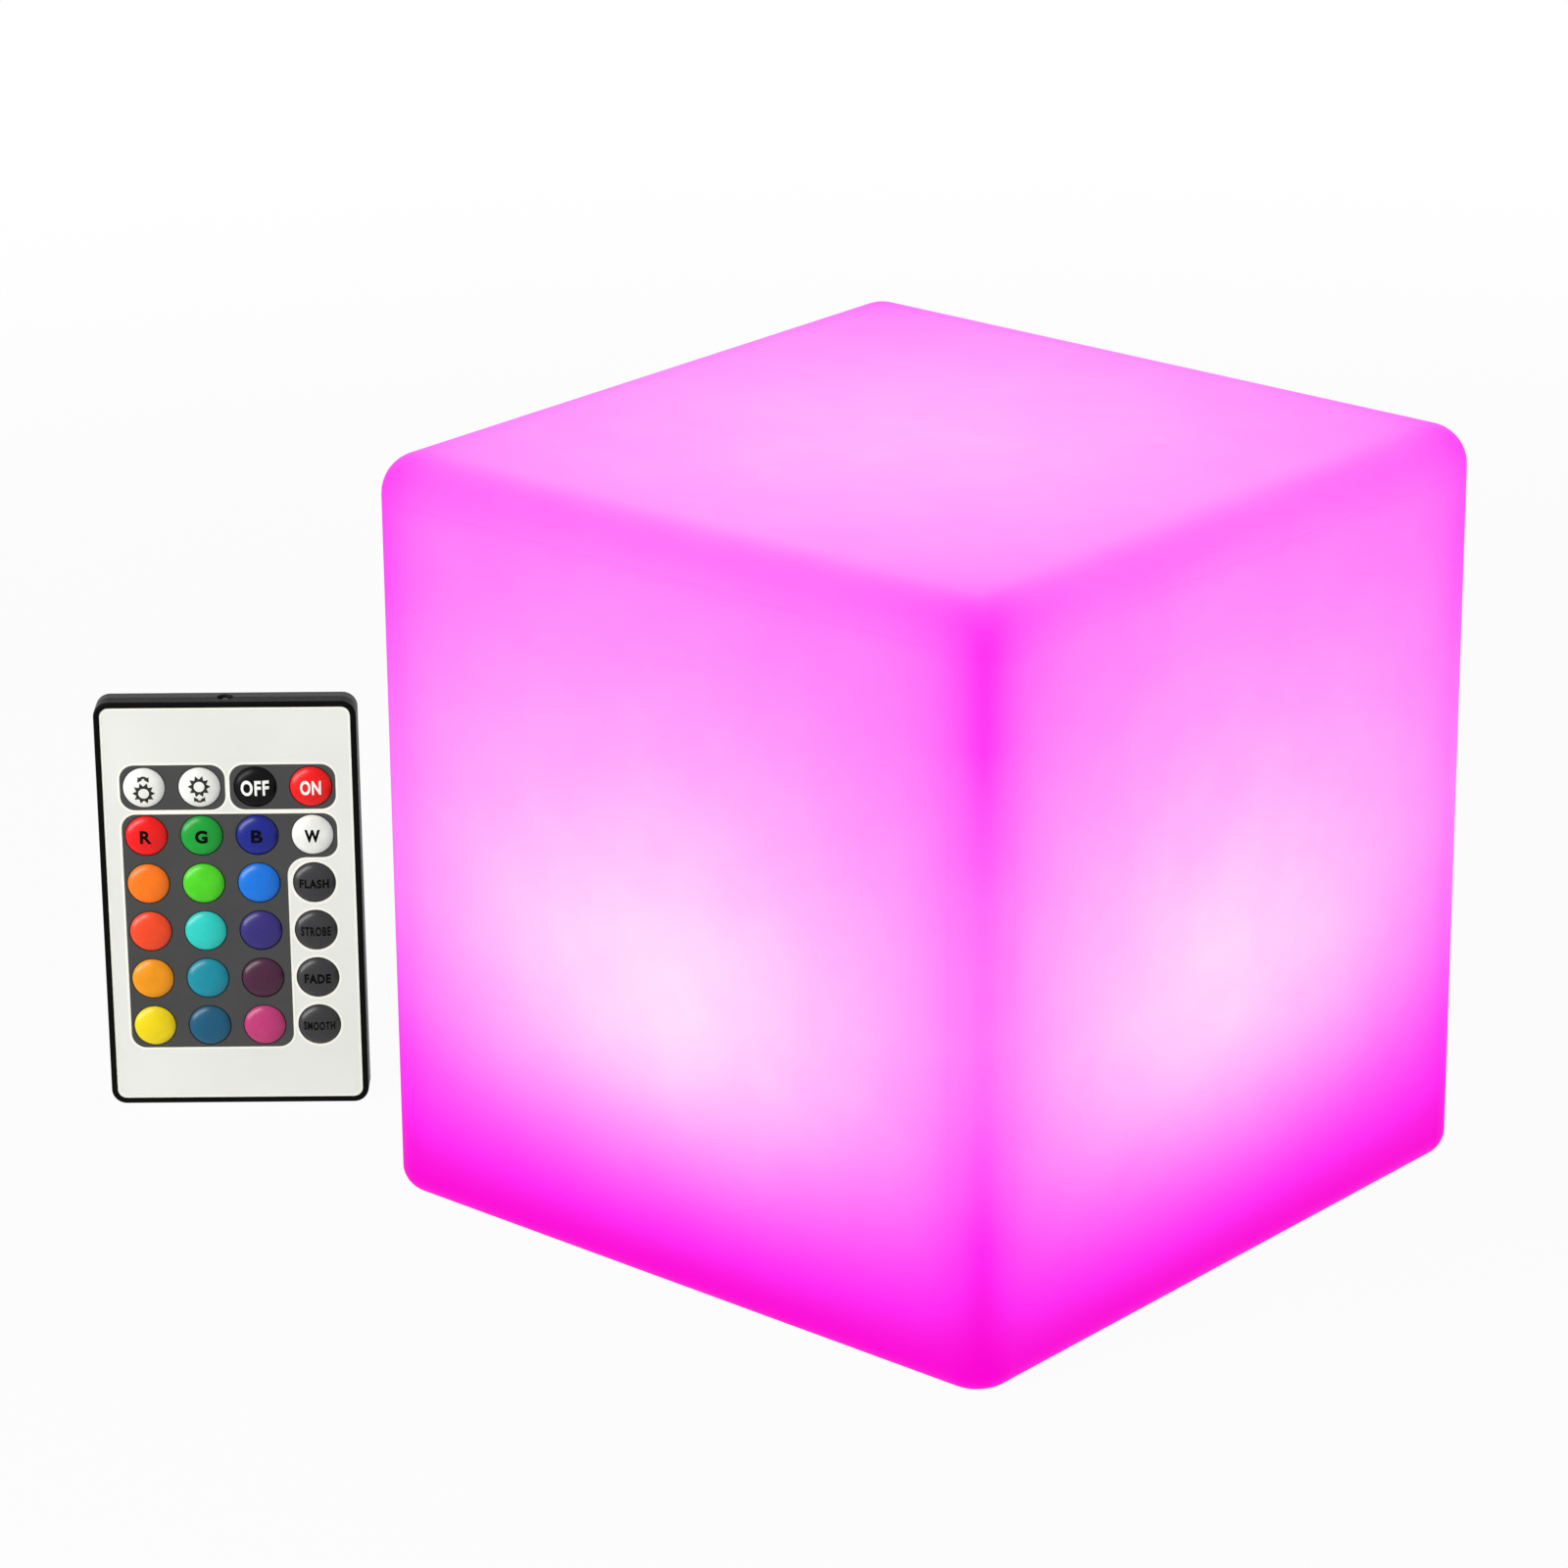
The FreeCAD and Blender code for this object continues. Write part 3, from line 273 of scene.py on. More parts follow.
def litPolyethylene(glow):
    material, tree = emptyMaterial("rotomouldedPolyethylene")
    coordinate = addNode(tree, "ShaderNodeTexCoord")
    place = addNode(tree, "ShaderNodeVectorMath", {"operation": "SCALE"},
                    {0: coordinate.outputs["Object"], "Scale": perMetre}).outputs[0]
    ray = addNode(tree, "ShaderNodeVectorMath", {"operation": "SUBTRACT"},
                  {0: place, 1: glow["source"]}).outputs[0]
    squared = addNode(tree, "ShaderNodeVectorMath", {"operation": "DOT_PRODUCT"}, {0: ray, 1: ray})
    along = addNode(tree, "ShaderNodeVectorMath", {"operation": "NORMALIZE"}, {0: ray}).outputs[0]
    facing = addNode(tree, "ShaderNodeVectorMath", {"operation": "DOT_PRODUCT"},
                     {0: along, 1: coordinate.outputs["Normal"]})
    positive = addNode(tree, "ShaderNodeVectorMath", {"operation": "ABSOLUTE"}, {0: place}).outputs[0]
    parts = addNode(tree, "ShaderNodeSeparateXYZ", inputs={0: positive}).outputs
    mottle = addNode(tree, "ShaderNodeTexNoise",
                     inputs={"Vector": place, "Scale": 1 / glow["mottle"], "Detail": 3.0, "Roughness": 0.55})
    uneven = addNode(tree, "ShaderNodeMapRange", inputs={
        "Value": mottle.outputs[0], "From Min": noiseSpan[0], "From Max": noiseSpan[1],
        "To Min": 1.0 - glow["mottleShare"], "To Max": 1.0 + glow["mottleShare"],
    })
    sums = {
        "x": parts["X"], "y": parts["Y"], "z": parts["Z"], "uneven": uneven.outputs["Result"],
        "squared": squared.outputs["Value"], "facing": facing.outputs["Value"],
    }
    for name, operation, first, second in glowRows(glow):
        sums[name] = addNode(tree, "ShaderNodeMath", {"operation": operation},
                             {0: sums.get(first, first), 1: sums.get(second, second)}).outputs[0]
    ramp = addNode(tree, "ShaderNodeValToRGB", inputs={"Fac": sums["light"]})
    setStops(ramp, glow["colours"])
    pits = addNode(tree, "ShaderNodeTexNoise",
                   inputs={"Vector": place, "Scale": 1 / glow["pits"], "Detail": 2.0})
    skin = addNode(tree, "ShaderNodeBump",
                   inputs={"Distance": glow["pitDepth"] * mm, "Height": pits.outputs[0]})
    satin = addNode(tree, "ShaderNodeMapRange", inputs={
        "Value": mottle.outputs[0], "To Min": glow["roughness"][0], "To Max": glow["roughness"][1],
    })
    shader = addNode(tree, "ShaderNodeBsdfPrincipled", inputs={
        "Base Color": linear(glow["unlit"]),
        "Roughness": satin.outputs["Result"],
        "Specular IOR Level": glow["specular"],
        "Normal": skin.outputs[0],
        "Emission Color": ramp.outputs["Color"],
        "Emission Strength": 1.0,
    })
    addNode(tree, "ShaderNodeOutputMaterial", inputs={"Surface": shader.outputs[0]})
    return material


# A moulded, printed, plated or cast surface: two shades that drift into each other, a grain in the gloss and
# in the skin. blotch and grain are sizes of the pattern in millimetres, depth is how deep the grain is
def plainSurface(name, surface):
    material, tree = emptyMaterial(name)
    place = addNode(tree, "ShaderNodeTexCoord").outputs["Object"]
    drift = addNode(tree, "ShaderNodeTexNoise",
                    inputs={"Vector": place, "Scale": perMetre / surface["blotch"], "Detail": 3.0})
    shade = addNode(tree, "ShaderNodeValToRGB", inputs={"Fac": drift.outputs[0]})
    setStops(shade, list(zip(shadeSpan, surface["colours"])))
    grain = addNode(tree, "ShaderNodeTexNoise",
                    inputs={"Vector": place, "Scale": perMetre / surface["grain"], "Detail": 2.0})
    gloss = addNode(tree, "ShaderNodeMapRange", inputs={
        "Value": grain.outputs[0], "From Min": noiseSpan[0], "From Max": noiseSpan[1],
        "To Min": surface["roughness"][0], "To Max": surface["roughness"][1],
    })
    skin = addNode(tree, "ShaderNodeBump",
                   inputs={"Distance": surface["depth"] * mm, "Height": grain.outputs[0]})
    shader = addNode(tree, "ShaderNodeBsdfPrincipled", inputs={
        "Base Color": shade.outputs["Color"],
        "Roughness": gloss.outputs["Result"],
        "Normal": skin.outputs[0],
        **surface.get("sockets", {}),
    })
    addNode(tree, "ShaderNodeOutputMaterial", inputs={"Surface": shader.outputs[0]})
    return material


# One entry for each finish of the record: the material's name, then its look
finishes = {
    # injection-moulded ABS with a fine spark texture: clean, slightly warm white, dull
    "white_abs": ("mouldedWhiteAbs", {
        "colours": ["#EDEDE9", "#E6E6E1"], "blotch": 18.0, "grain": 0.5, "depth": 0.02,
        "roughness": (0.42, 0.55)}),
    # pressed silicone: even mid grey with no shine
    "grey_silicone": ("pressedGreySilicone", {
        "colours": ["#AEAEAE", "#A4A4A4"], "blotch": 9.0, "grain": 0.7, "depth": 0.015,
        "roughness": (0.6, 0.72)}),
    # zinc-plated steel: pale, a little blue, brighter on worn edges
    "zinc_steel": ("zincPlatedSteel", {
        "colours": ["#D3D4D2", "#BFC1C4"], "blotch": 1.5, "grain": 0.4, "depth": 0.006,
        "roughness": (0.25, 0.42), "sockets": {"Metallic": 1.0}}),
    # white solder mask over aluminium: chalky white with a satin skin
    "white_board": ("whiteSolderMask", {
        "colours": ["#F0F1F0", "#E8EAE8"], "blotch": 7.0, "grain": 0.8, "depth": 0.008,
        "roughness": (0.3, 0.42)}),
    # white housings filled with clear resin: creamy and shiny
    "led_package": ("ledPackageResin", {
        "colours": ["#F1EEDD", "#E3DCB8"], "blotch": 2.0, "grain": 0.6, "depth": 0.004,
        "roughness": (0.12, 0.2)}),
    # cast epoxy: near black with a dull gloss
    "black_epoxy": ("castBlackEpoxy", {
        "colours": ["#1B1B1C", "#232324"], "blotch": 3.0, "grain": 0.3, "depth": 0.01,
        "roughness": (0.25, 0.4)}),
    # polished polycarbonate: water-clear with a hard shine
    "clear_polycarbonate": ("polishedPolycarbonate", {
        "colours": ["#F8FAFB", "#F1F6F8"], "blotch": 20.0, "grain": 4.0, "depth": 0.003,
        "roughness": (0.03, 0.08), "sockets": {"Transmission Weight": 0.95, "IOR": 1.585}}),
    # green solder mask on fibreglass: the weave shows as a faint ripple under the gloss
    "green_fibreglass": ("greenSolderMask", {
        "colours": ["#1F6B3A", "#175C30"], "blotch": 2.5, "grain": 0.9, "depth": 0.01,
        "roughness": (0.22, 0.35)}),
    # glass-filled nylon: black going grey where the glass comes through
    "black_nylon": ("mouldedBlackNylon", {
        "colours": ["#262626", "#2E2E2E"], "blotch": 4.0, "grain": 0.35, "depth": 0.015,
        "roughness": (0.45, 0.6)}),
    # unfilled nylon: milky white
    "white_nylon": ("mouldedWhiteNylon", {
        "colours": ["#E9E7DE", "#DFDCD0"], "blotch": 4.0, "grain": 0.5, "depth": 0.01,
        "roughness": (0.35, 0.5)}),
    # soft rubber for button and plug: white that has picked up a little dust
    "white_rubber": ("mouldedWhiteRubber", {
        "colours": ["#E0E0DD", "#D6D5D0"], "blotch": 5.0, "grain": 0.6, "depth": 0.02,
        "roughness": (0.55, 0.7)}),
    # aluminium laminate of the pouch cell: soft silver, slightly quilted
    "laminated_pouch": ("aluminiumLaminate", {
        "colours": ["#C9CBCD", "#B7B9BC"], "blotch": 6.0, "grain": 1.6, "depth": 0.03,
        "roughness": (0.28, 0.45), "sockets": {"Metallic": 0.9}}),
    # open-cell foam tape: coarse and black
    "black_foam": ("blackFoamTape", {
        "colours": ["#2B2B2B", "#383838"], "blotch": 0.8, "grain": 0.5, "depth": 0.12,
        "roughness": (0.8, 0.95)}),
    # injection-moulded ABS, lightly polished: deep black, satin
    "black_abs": ("mouldedBlackAbs", {
        "colours": ["#050505", "#090909"], "blotch": 12.0, "grain": 0.6, "depth": 0.004,
        "roughness": (0.34, 0.44), "sockets": {"Specular IOR Level": 0.05}}),
    # polyester film printed from behind: light warm grey under a satin face
    "printed_film": ("screenPrintedFilm", {
        "colours": ["#E7E8E2", "#E2E3DD"], "blotch": 30.0, "grain": 0.9, "depth": 0.004,
        "roughness": (0.4, 0.5), "sockets": {"Specular IOR Level": 0.3}}),
    # moulded silicone of the keypad mat: dark, waxy
    "dark_silicone": ("mouldedDarkSilicone", {
        "colours": ["#3C3C3C", "#454545"], "blotch": 6.0, "grain": 0.6, "depth": 0.01,
        "roughness": (0.5, 0.65)}),
    # baked carbon ink: flat black with a fine tooth
    "carbon_ink": ("bakedCarbonInk", {
        "colours": ["#161616", "#1E1E1E"], "blotch": 1.2, "grain": 0.3, "depth": 0.01,
        "roughness": (0.65, 0.8)}),
    # nickel-plated spring steel: warm silver strip
    "spring_steel": ("nickelledSpringSteel", {
        "colours": ["#CFCBC2", "#C2BDB2"], "blotch": 1.6, "grain": 0.4, "depth": 0.004,
        "roughness": (0.2, 0.32), "sockets": {"Metallic": 1.0}}),
    # nickel-plated cell can: bright with handling marks
    "cell_steel": ("nickelledCellCan", {
        "colours": ["#DADAD8", "#CACAC8"], "blotch": 3.0, "grain": 0.5, "depth": 0.005,
        "roughness": (0.18, 0.34), "sockets": {"Metallic": 1.0}}),
    # infrared-passing epoxy: a violet black lens
    "infrared_epoxy": ("infraredEpoxy", {
        "colours": ["#2B2530", "#241E29"], "blotch": 2.0, "grain": 0.8, "depth": 0.002,
        "roughness": (0.06, 0.14)}),
}

# Silicone keys under a clear gloss coat: saturated colour, a soft shine on the crown, a bright crescent on
# the shoulder
keyColours = {
    "soft_white": "#F0F0EB", "black": "#030303", "red_gloss": "#EE0300", "green_gloss": "#009B2E",
    "blue_gloss": "#001785", "orange_gloss": "#FB7604", "lime_gloss": "#4AD315", "azure_gloss": "#0073DC",
    "grey_gloss": "#2E2E30", "vermilion_gloss": "#F14519", "turquoise_gloss": "#25CABF",
    "indigo_gloss": "#2D2273", "amber_gloss": "#F09600", "teal_gloss": "#008A9F", "plum_gloss": "#430F33",
    "yellow_gloss": "#F0D500", "petrol_gloss": "#005474", "pink_gloss": "#BC3472",
}
keyGloss = {"blotch": 2.6, "grain": 0.8, "depth": 0.0006, "roughness": (0.27, 0.31),
            "sockets": {"Specular IOR Level": 0.32}}
blackGloss = {**keyGloss, "sockets": {"Specular IOR Level": 0.12}}
keyDrift = 0.96  # brightness of a key's second shade


def darker(hexColour, share):
    return "#" + "".join(f"{int(int(hexColour[i:i + 2], 16) * share):02X}" for i in (1, 3, 5))


paints = {slot: plainSurface(name, surface) for slot, (name, surface) in finishes.items()}
for colourName, hexColour in keyColours.items():
    name = "coatedKey" + colourName.replace("_gloss", "").replace("_", " ").title().replace(" ", "")
    gloss = blackGloss if colourName == "black" else keyGloss
    shades = [hexColour, darker(hexColour, keyDrift)]
    paints["key_" + colourName] = plainSurface(name, {"colours": shades, **gloss})
paints["lit_polyethylene"] = litPolyethylene(shellGlow)

# Silicone-sleeved leads: soft and matt, each in its own colour, which follows the place along one axis
leads = {
    "pitch": 1.8, "grain": 0.5, "roughness": (0.35, 0.5),
    # axis, place of the first lead on it, colours
    "battery": ("Z", 10.6, ["#181818", "#B81E18"]),
    "led": ("X", -3.6, ["#181818", "#B81E18", "#1E8A3C", "#2346B0", "#E4E4E0"]),
}


def sleevedLeads(name, axis, first, colours):
    material, tree = emptyMaterial(name)
    place = addNode(tree, "ShaderNodeTexCoord").outputs["Object"]
    parts = addNode(tree, "ShaderNodeSeparateXYZ", inputs={0: place}).outputs
    count = len(colours)
    which = addNode(tree, "ShaderNodeMapRange", inputs={
        "Value": parts[axis],
        "From Min": (first - leads["pitch"] / 2) * mm,
        "From Max": (first + (count - 0.5) * leads["pitch"]) * mm,
    })
    ramp = addNode(tree, "ShaderNodeValToRGB", inputs={"Fac": which.outputs["Result"]})
    setStops(ramp, [(i / count, colour) for i, colour in enumerate(colours)])
    ramp.color_ramp.interpolation = "CONSTANT"
    grain = addNode(tree, "ShaderNodeTexNoise", inputs={"Vector": place, "Scale": perMetre / leads["grain"]})
    gloss = addNode(tree, "ShaderNodeMapRange", inputs={
        "Value": grain.outputs[0], "To Min": leads["roughness"][0], "To Max": leads["roughness"][1],
    })
    shader = addNode(tree, "ShaderNodeBsdfPrincipled",
                     inputs={"Base Color": ramp.outputs["Color"], "Roughness": gloss.outputs["Result"]})
    addNode(tree, "ShaderNodeOutputMaterial", inputs={"Surface": shader.outputs[0]})
    return material


leadPaints = {
    "battery_leads": sleevedLeads("sleevedBatteryLeads", *leads["battery"]),
    "led_leads": sleevedLeads("sleevedLedLeads", *leads["led"]),
}

# Spark-textured ABS of the remote's back and drawer: charcoal, with a dry sheen and a fine grain
backPaint = plainSurface("sparkTexturedBlackAbs", {
    "colours": ["#141415", "#1C1C1D"], "blotch": 9.0, "grain": 0.5, "depth": 0.02,
    "roughness": (0.46, 0.62), "sockets": {"Specular IOR Level": 0.4}})
ownPaints = {**leadPaints, "remote_back_case": backPaint, "battery_drawer": backPaint}

for name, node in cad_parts.items():
    for materialSlot in node.material_slots:
        materialSlot.material = ownPaints.get(name) or paints[materialSlot.material.name]
# The photograph shows no magenta on the remote and the floor, so the cube's glow stays on the cube
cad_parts["cube_shell"].visible_diffuse = False
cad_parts["cube_shell"].visible_glossy = False
print("materials are made:", len(paints) + len(leadPaints) + 1)


# Remote
remote = {
    "turn": 41.0, "foot": (-131.4, -59.1),  # degrees that its face turns, where its lower end stands
    "width": 52.0, "length": 86.0, "filmTop": 6.25, "rim": 1.2,
    "columnPitch": 11.05, "rowPitch": 10.22, "firstRow": 68.1,
}
across = math.radians(remote["turn"])
# From the remote lying on its back to where it stands
stand = Matrix((
    (math.cos(across), 0, math.sin(across), remote["foot"][0] * mm),
    (math.sin(across), 0, -math.cos(across), remote["foot"][1] * mm),
    (0, 1, 0, 0),
    (0, 0, 0, 1),
)) @ Matrix.Scale(mm, 4)

keyRows = [
    ["brighter", "dimmer", "off", "on"],
    ["red", "green", "blue", "white"],
    ["orange", "lime", "azure", "flash"],
    ["vermilion", "turquoise", "indigo", "strobe"],
    ["amber", "teal", "plum", "fade"],
    ["yellow", "petrol", "pink", "smooth"],
]
keyPlaces = {
    name: ((column - 1.5) * remote["columnPitch"], remote["firstRow"] - row * remote["rowPitch"])
    for row, names in enumerate(keyRows)
    for column, name in enumerate(names)
}
modeKeys = ("flash", "strobe", "fade", "smooth")
keySlots = {"brighter": "key_soft_white", "dimmer": "key_soft_white", "white": "key_soft_white",
            "off": "key_black", "on": "key_red_gloss", **{name: "key_grey_gloss" for name in modeKeys}}

cap = {
    "radius": 4.15, "top": 7.4, "crown": 0.68, "shoulder": 0.4,
    "rim": 0.08, "rimSteps": 3, "rimWithin": 0.01,  # the rim's edges lie as near as this to the radius
    # shares of the radius where the crown's section has a corner
    "parts": (1.0, 0.97, 0.94, 0.9, 0.86, 0.81, 0.75, 0.67, 0.57, 0.45, 0.3, 0.15, 0.0),
    "skirtLow": 4.92, "skirtHigh": 5.12, "skirtOut": 0.6,
}
sharpAngle = 32.0  # degrees; edges that turn less are shaded smooth


# Height of a key's crown at a distance from its middle: a low dome that falls off faster at its shoulder
def crownHeight(radius):
    part = radius / cap["radius"]
    return cap["top"] - cap["crown"] * part ** 2 - cap["shoulder"] * part ** 6


# Turns a finished mesh into a piece that stands in its place and rides on a body
def makePiece(name, shape, paint, body, place=Matrix()):
    shape.transform(stand @ place)
    sharp = math.radians(sharpAngle)
    for edge in shape.edges:
        edge.smooth = len(edge.link_faces) == 2 and edge.calc_face_angle() < sharp
    for face in shape.faces:
        face.smooth = True
    data = bpy.data.meshes.new(name)
    shape.to_mesh(data)
    shape.free()
    data.materials.append(paint)
    piece = bpy.data.objects.new(name, data)
    bpy.context.scene.collection.objects.link(piece)
    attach(piece, body)
    return piece


# Spins the half section of a key, then rounds its rim. Below the film the key takes the mat's dark silicone,
# a painted shade for the gap round the key
def keyCap():
    shape = bmesh.new()
    radius = cap["radius"]
    skirtRadius = radius + cap["skirtOut"]
    section = [
        (0.0, cap["skirtLow"]), (skirtRadius, cap["skirtLow"]), (skirtRadius, cap["skirtHigh"]),
        (radius, cap["skirtHigh"]), (radius, remote["filmTop"]),
        *[(radius * part, crownHeight(radius * part)) for part in cap["parts"]],
    ]
    corners = [shape.verts.new((x, 0.0, z)) for x, z in section]
    edges = [shape.edges.new(pair) for pair in zip(corners, corners[1:])]
    bmesh.ops.spin(shape, geom=corners + edges, cent=(0, 0, 0), axis=(0, 0, 1), angle=math.tau,
                   steps=roundSteps, use_merge=True)
    bmesh.ops.remove_doubles(shape, verts=shape.verts, dist=mergeWithin)
    bmesh.ops.recalc_face_normals(shape, faces=shape.faces)
    rimHeight = crownHeight(radius)
    rim = [
        edge for edge in shape.edges
        if all(abs(v.co.z - rimHeight) < sameWithin and abs(v.co.xy.length - radius) < cap["rimWithin"]
               for v in edge.verts)
    ]
    bmesh.ops.bevel(shape, geom=rim, offset=cap["rim"], segments=cap["rimSteps"], profile=0.5,
                    affect="EDGES", material=-1)
    # faces below the film get the dark silicone: painted shade in the gap round the key
    for face in shape.faces:
        face.material_index = int(max(v.co.z for v in face.verts) < remote["filmTop"] + sameWithin)
    return shape


for name, (x, y) in keyPlaces.items():
    slot = keySlots.get(name, "key_" + name + "_gloss")
    place = Matrix.Translation((x, y, 0))
    piece = makePiece(name + "Key", keyCap(), paints[slot], "key_" + name, place)
    piece.data.materials.append(paints["dark_silicone"])
    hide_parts("key_" + name)
print("keys are made:", len(keyPlaces))

# Silk-screened ink on the keys: sharp and matte, a hair thicker than a film of paint so that its edge shows
inks = {
    "black": plainSurface("matteBlackInk", {
        "colours": ["#060606", "#0A0A0A"], "blotch": 1.0, "grain": 0.4, "depth": 0.001,
        "roughness": (0.5, 0.62), "sockets": {"Specular IOR Level": 0.03}}),
    "white": plainSurface("matteWhiteInk", {
        "colours": ["#FAFAF8", "#F2F2EE"], "blotch": 1.0, "grain": 0.4, "depth": 0.001,
        "roughness": (0.45, 0.6)}),
    "grey": plainSurface("matteGreyInk", {
        "colours": ["#2C2C28", "#343430"], "blotch": 1.0, "grain": 0.4, "depth": 0.001,
        "roughness": (0.5, 0.62), "sockets": {"Specular IOR Level": 0.1}}),
}

# Word, width and height in millimetres, ink, growth of the strokes, space between letters
words = {
    "off": ("OFF", 5.6, 3.25, "white", 0.032, 1.12), "on": ("ON", 4.15, 3.0, "white", 0.032, 1.1),
    "red": ("R", 2.3, 2.75, "black", 0.03, 1.0), "green": ("G", 2.5, 2.75, "black", 0.045, 1.0),
    "blue": ("B", 2.3, 2.75, "black", 0.03, 1.0), "white": ("W", 3.1, 2.65, "black", 0.045, 1.0),
    "flash": ("FLASH", 5.9, 1.9, "black", 0.04, 1.16), "strobe": ("STROBE", 6.0, 2.0, "black", 0.03, 1.18),
    "fade": ("FADE", 5.3, 2.0, "black", 0.04, 1.16), "smooth": ("SMOOTH", 6.3, 1.8, "black", 0.03, 1.18),
}
# rawDepth is any depth for the letters as they are typed, before they are brought to size
ink = {"thickness": 0.06, "sunk": 0.02, "facet": 0.45, "curveSteps": 6, "rawDepth": 0.1}


# Cuts flat ink into small facets and bends it over the key's crown
def layOnCrown(shape):
    count = int(cap["radius"] / ink["facet"])
    for axis in (Vector((1, 0, 0)), Vector((0, 1, 0))):
        for i in range(-count, count + 1):
            everything = shape.verts[:] + shape.edges[:] + shape.faces[:]
            bmesh.ops.bisect_plane(shape, geom=everything, plane_co=axis * i * ink["facet"], plane_no=axis)
    for v in shape.verts:
        v.co.z += crownHeight(v.co.xy.length) - ink["sunk"]


def wordShape(word, width, height, bold, space):
    letters = bpy.data.curves.new(word, "FONT")
    letters.body = word
    letters.resolution_u = ink["curveSteps"]
    letters.offset = bold
    letters.space_character = space
    letters.extrude = ink["rawDepth"]
    holder = bpy.data.objects.new(word, letters)
    bpy.context.scene.collection.objects.link(holder)
    bpy.context.view_layer.update()
    flat = bpy.data.meshes.new_from_object(holder.evaluated_get(bpy.context.evaluated_depsgraph_get()))
    shape = bmesh.new()
    shape.from_mesh(flat)
    bpy.data.objects.remove(holder)
    bpy.data.curves.remove(letters)
    bpy.data.meshes.remove(flat)
    bmesh.ops.remove_doubles(shape, verts=shape.verts, dist=mergeWithin)
    low = Vector([min(v.co[i] for v in shape.verts) for i in range(3)])
    high = Vector([max(v.co[i] for v in shape.verts) for i in range(3)])
    size = high - low
    middle = Vector(((low.x + high.x) / 2, (low.y + high.y) / 2, low.z))
    bmesh.ops.translate(shape, verts=shape.verts, vec=-middle)
    bmesh.ops.scale(shape, verts=shape.verts,
                    vec=(width / size.x, height / size.y, ink["thickness"] / size.z))
    bmesh.ops.recalc_face_normals(shape, faces=shape.faces)
    return shape


def thicken(shape, depth):
    grown = bmesh.ops.extrude_face_region(shape, geom=shape.faces[:])["geom"]
    raised = [part for part in grown if isinstance(part, bmesh.types.BMVert)]
    bmesh.ops.translate(shape, verts=raised, vec=(0, 0, depth))
    bmesh.ops.recalc_face_normals(shape, faces=shape.faces)


def addTriangle(shape, place):
    bmesh.ops.create_circle(shape, cap_ends=True, segments=3, radius=1.0, matrix=place)


sun = {
    "rays": 10, "rayLow": 1.24, "rayHigh": 2.28, "rayWidth": 1.18, "disc": 1.2, "line": 0.24,
    "arcRadius": 0.92, "arcLine": 0.46, "arcHalf": 52.0, "steps": 36,
    "arrow": 0.64, "arrowPast": 0.12,  # radians that an arrowhead's middle stands past the arc's end
    # heights of sun and arc, way that the arc bends
    "brighter": (-0.9, 2.4, 1.0), "dimmer": (0.45, -2.75, -1.0),
}


# Sun with a short double-headed arc over or under it
def sunShape(name):
    middle, arcHeight, side = sun[name]
    shape = bmesh.new()
    length = sun["rayHigh"] - sun["rayLow"]
    for i in range(sun["rays"]):
        angle = math.tau * (i + 0.5) / sun["rays"]
        place = (
            Matrix.Translation((0, middle, 0)) @ Matrix.Rotation(angle, 4, "Z")
            @ Matrix.Translation((0, sun["rayLow"] + length / 3, 0))
            @ Matrix.Diagonal((sun["rayWidth"] / math.sqrt(3), length / 1.5, 1, 1))
        )
        addTriangle(shape, place)
    rings = [(middle, sun["disc"], sun["line"], 0.0, math.tau)]
    arcMiddle = arcHeight - side * sun["arcRadius"]
    half = math.radians(sun["arcHalf"])
    start = math.pi / 2 * side - half
    rings.append((arcMiddle, sun["arcRadius"], sun["arcLine"], start, 2 * half))
    for height, radius, width, first, sweep in rings:
        spoke = [
            shape.verts.new((r * math.cos(first), height + r * math.sin(first), 0))
            for r in (radius - width / 2, radius + width / 2)
        ]
        edge = shape.edges.new(spoke)
        bmesh.ops.spin(shape, geom=spoke + [edge], cent=(0, height, 0), axis=(0, 0, 1), angle=sweep,
                       steps=sun["steps"], use_merge=sweep == math.tau)
    for end in (-1, 1):
        angle = math.pi / 2 * side + end * (half + sun["arrowPast"])
        tip = Vector((math.cos(angle), math.sin(angle), 0)) * sun["arcRadius"]
        place = (
            Matrix.Translation(tip + Vector((0, arcMiddle, 0)))
            @ Matrix.Rotation(angle + (0 if end > 0 else math.pi), 4, "Z")
            @ Matrix.Diagonal((sun["arrow"], sun["arrow"], 1, 1))
        )
        addTriangle(shape, place)
    bmesh.ops.remove_doubles(shape, verts=shape.verts, dist=mergeWithin)
    thicken(shape, ink["thickness"])
    return shape


legends = {
    name: (wordShape(word, width, height, bold, space), colour)
    for name, (word, width, height, colour, bold, space) in words.items()
}
legends["brighter"] = (sunShape("brighter"), "grey")
legends["dimmer"] = (sunShape("dimmer"), "grey")
for name, (shape, colour) in legends.items():
    layOnCrown(shape)
    place = Matrix.Translation((*keyPlaces[name], 0))
    makePiece(name + "Legend", shape, inks[colour], "key_" + name, place)
print("legends are made:", len(legends))

# Print on the film, and a painted highlight along its edge: outlines are (across, down from the top end) in
# millimetres
prints = {
    "panels": {
        "brightnessPanel": [(-21.85, 12.75), (0.0, 12.75), (0.0, 23.15), (-21.85, 23.15)],
        "powerPanel": [(0.0, 12.75), (21.95, 12.75), (21.95, 23.15), (0.0, 23.15)],
        "colourPanel": [(-21.85, 23.15), (21.95, 23.15), (21.95, 33.45), (11.75, 33.45),
                        (11.75, 74.25), (-21.85, 74.25)],
    },
    "cornerRadius": 3.4, "cornerSteps": 8, "border": 0.45, "thickness": 0.03,
    "sunk": 0.24,  # the ink lines the film's holes too, a painted shade so that no pale edge shows round a key
    "edgeHighlight": 0.42, "edgeRadius": 2.0, "ringWidth": 0.5, "holePlay": 0.17, "cutDepth": 2.0,
}
holeRadius = cap["radius"] + prints["holePlay"]
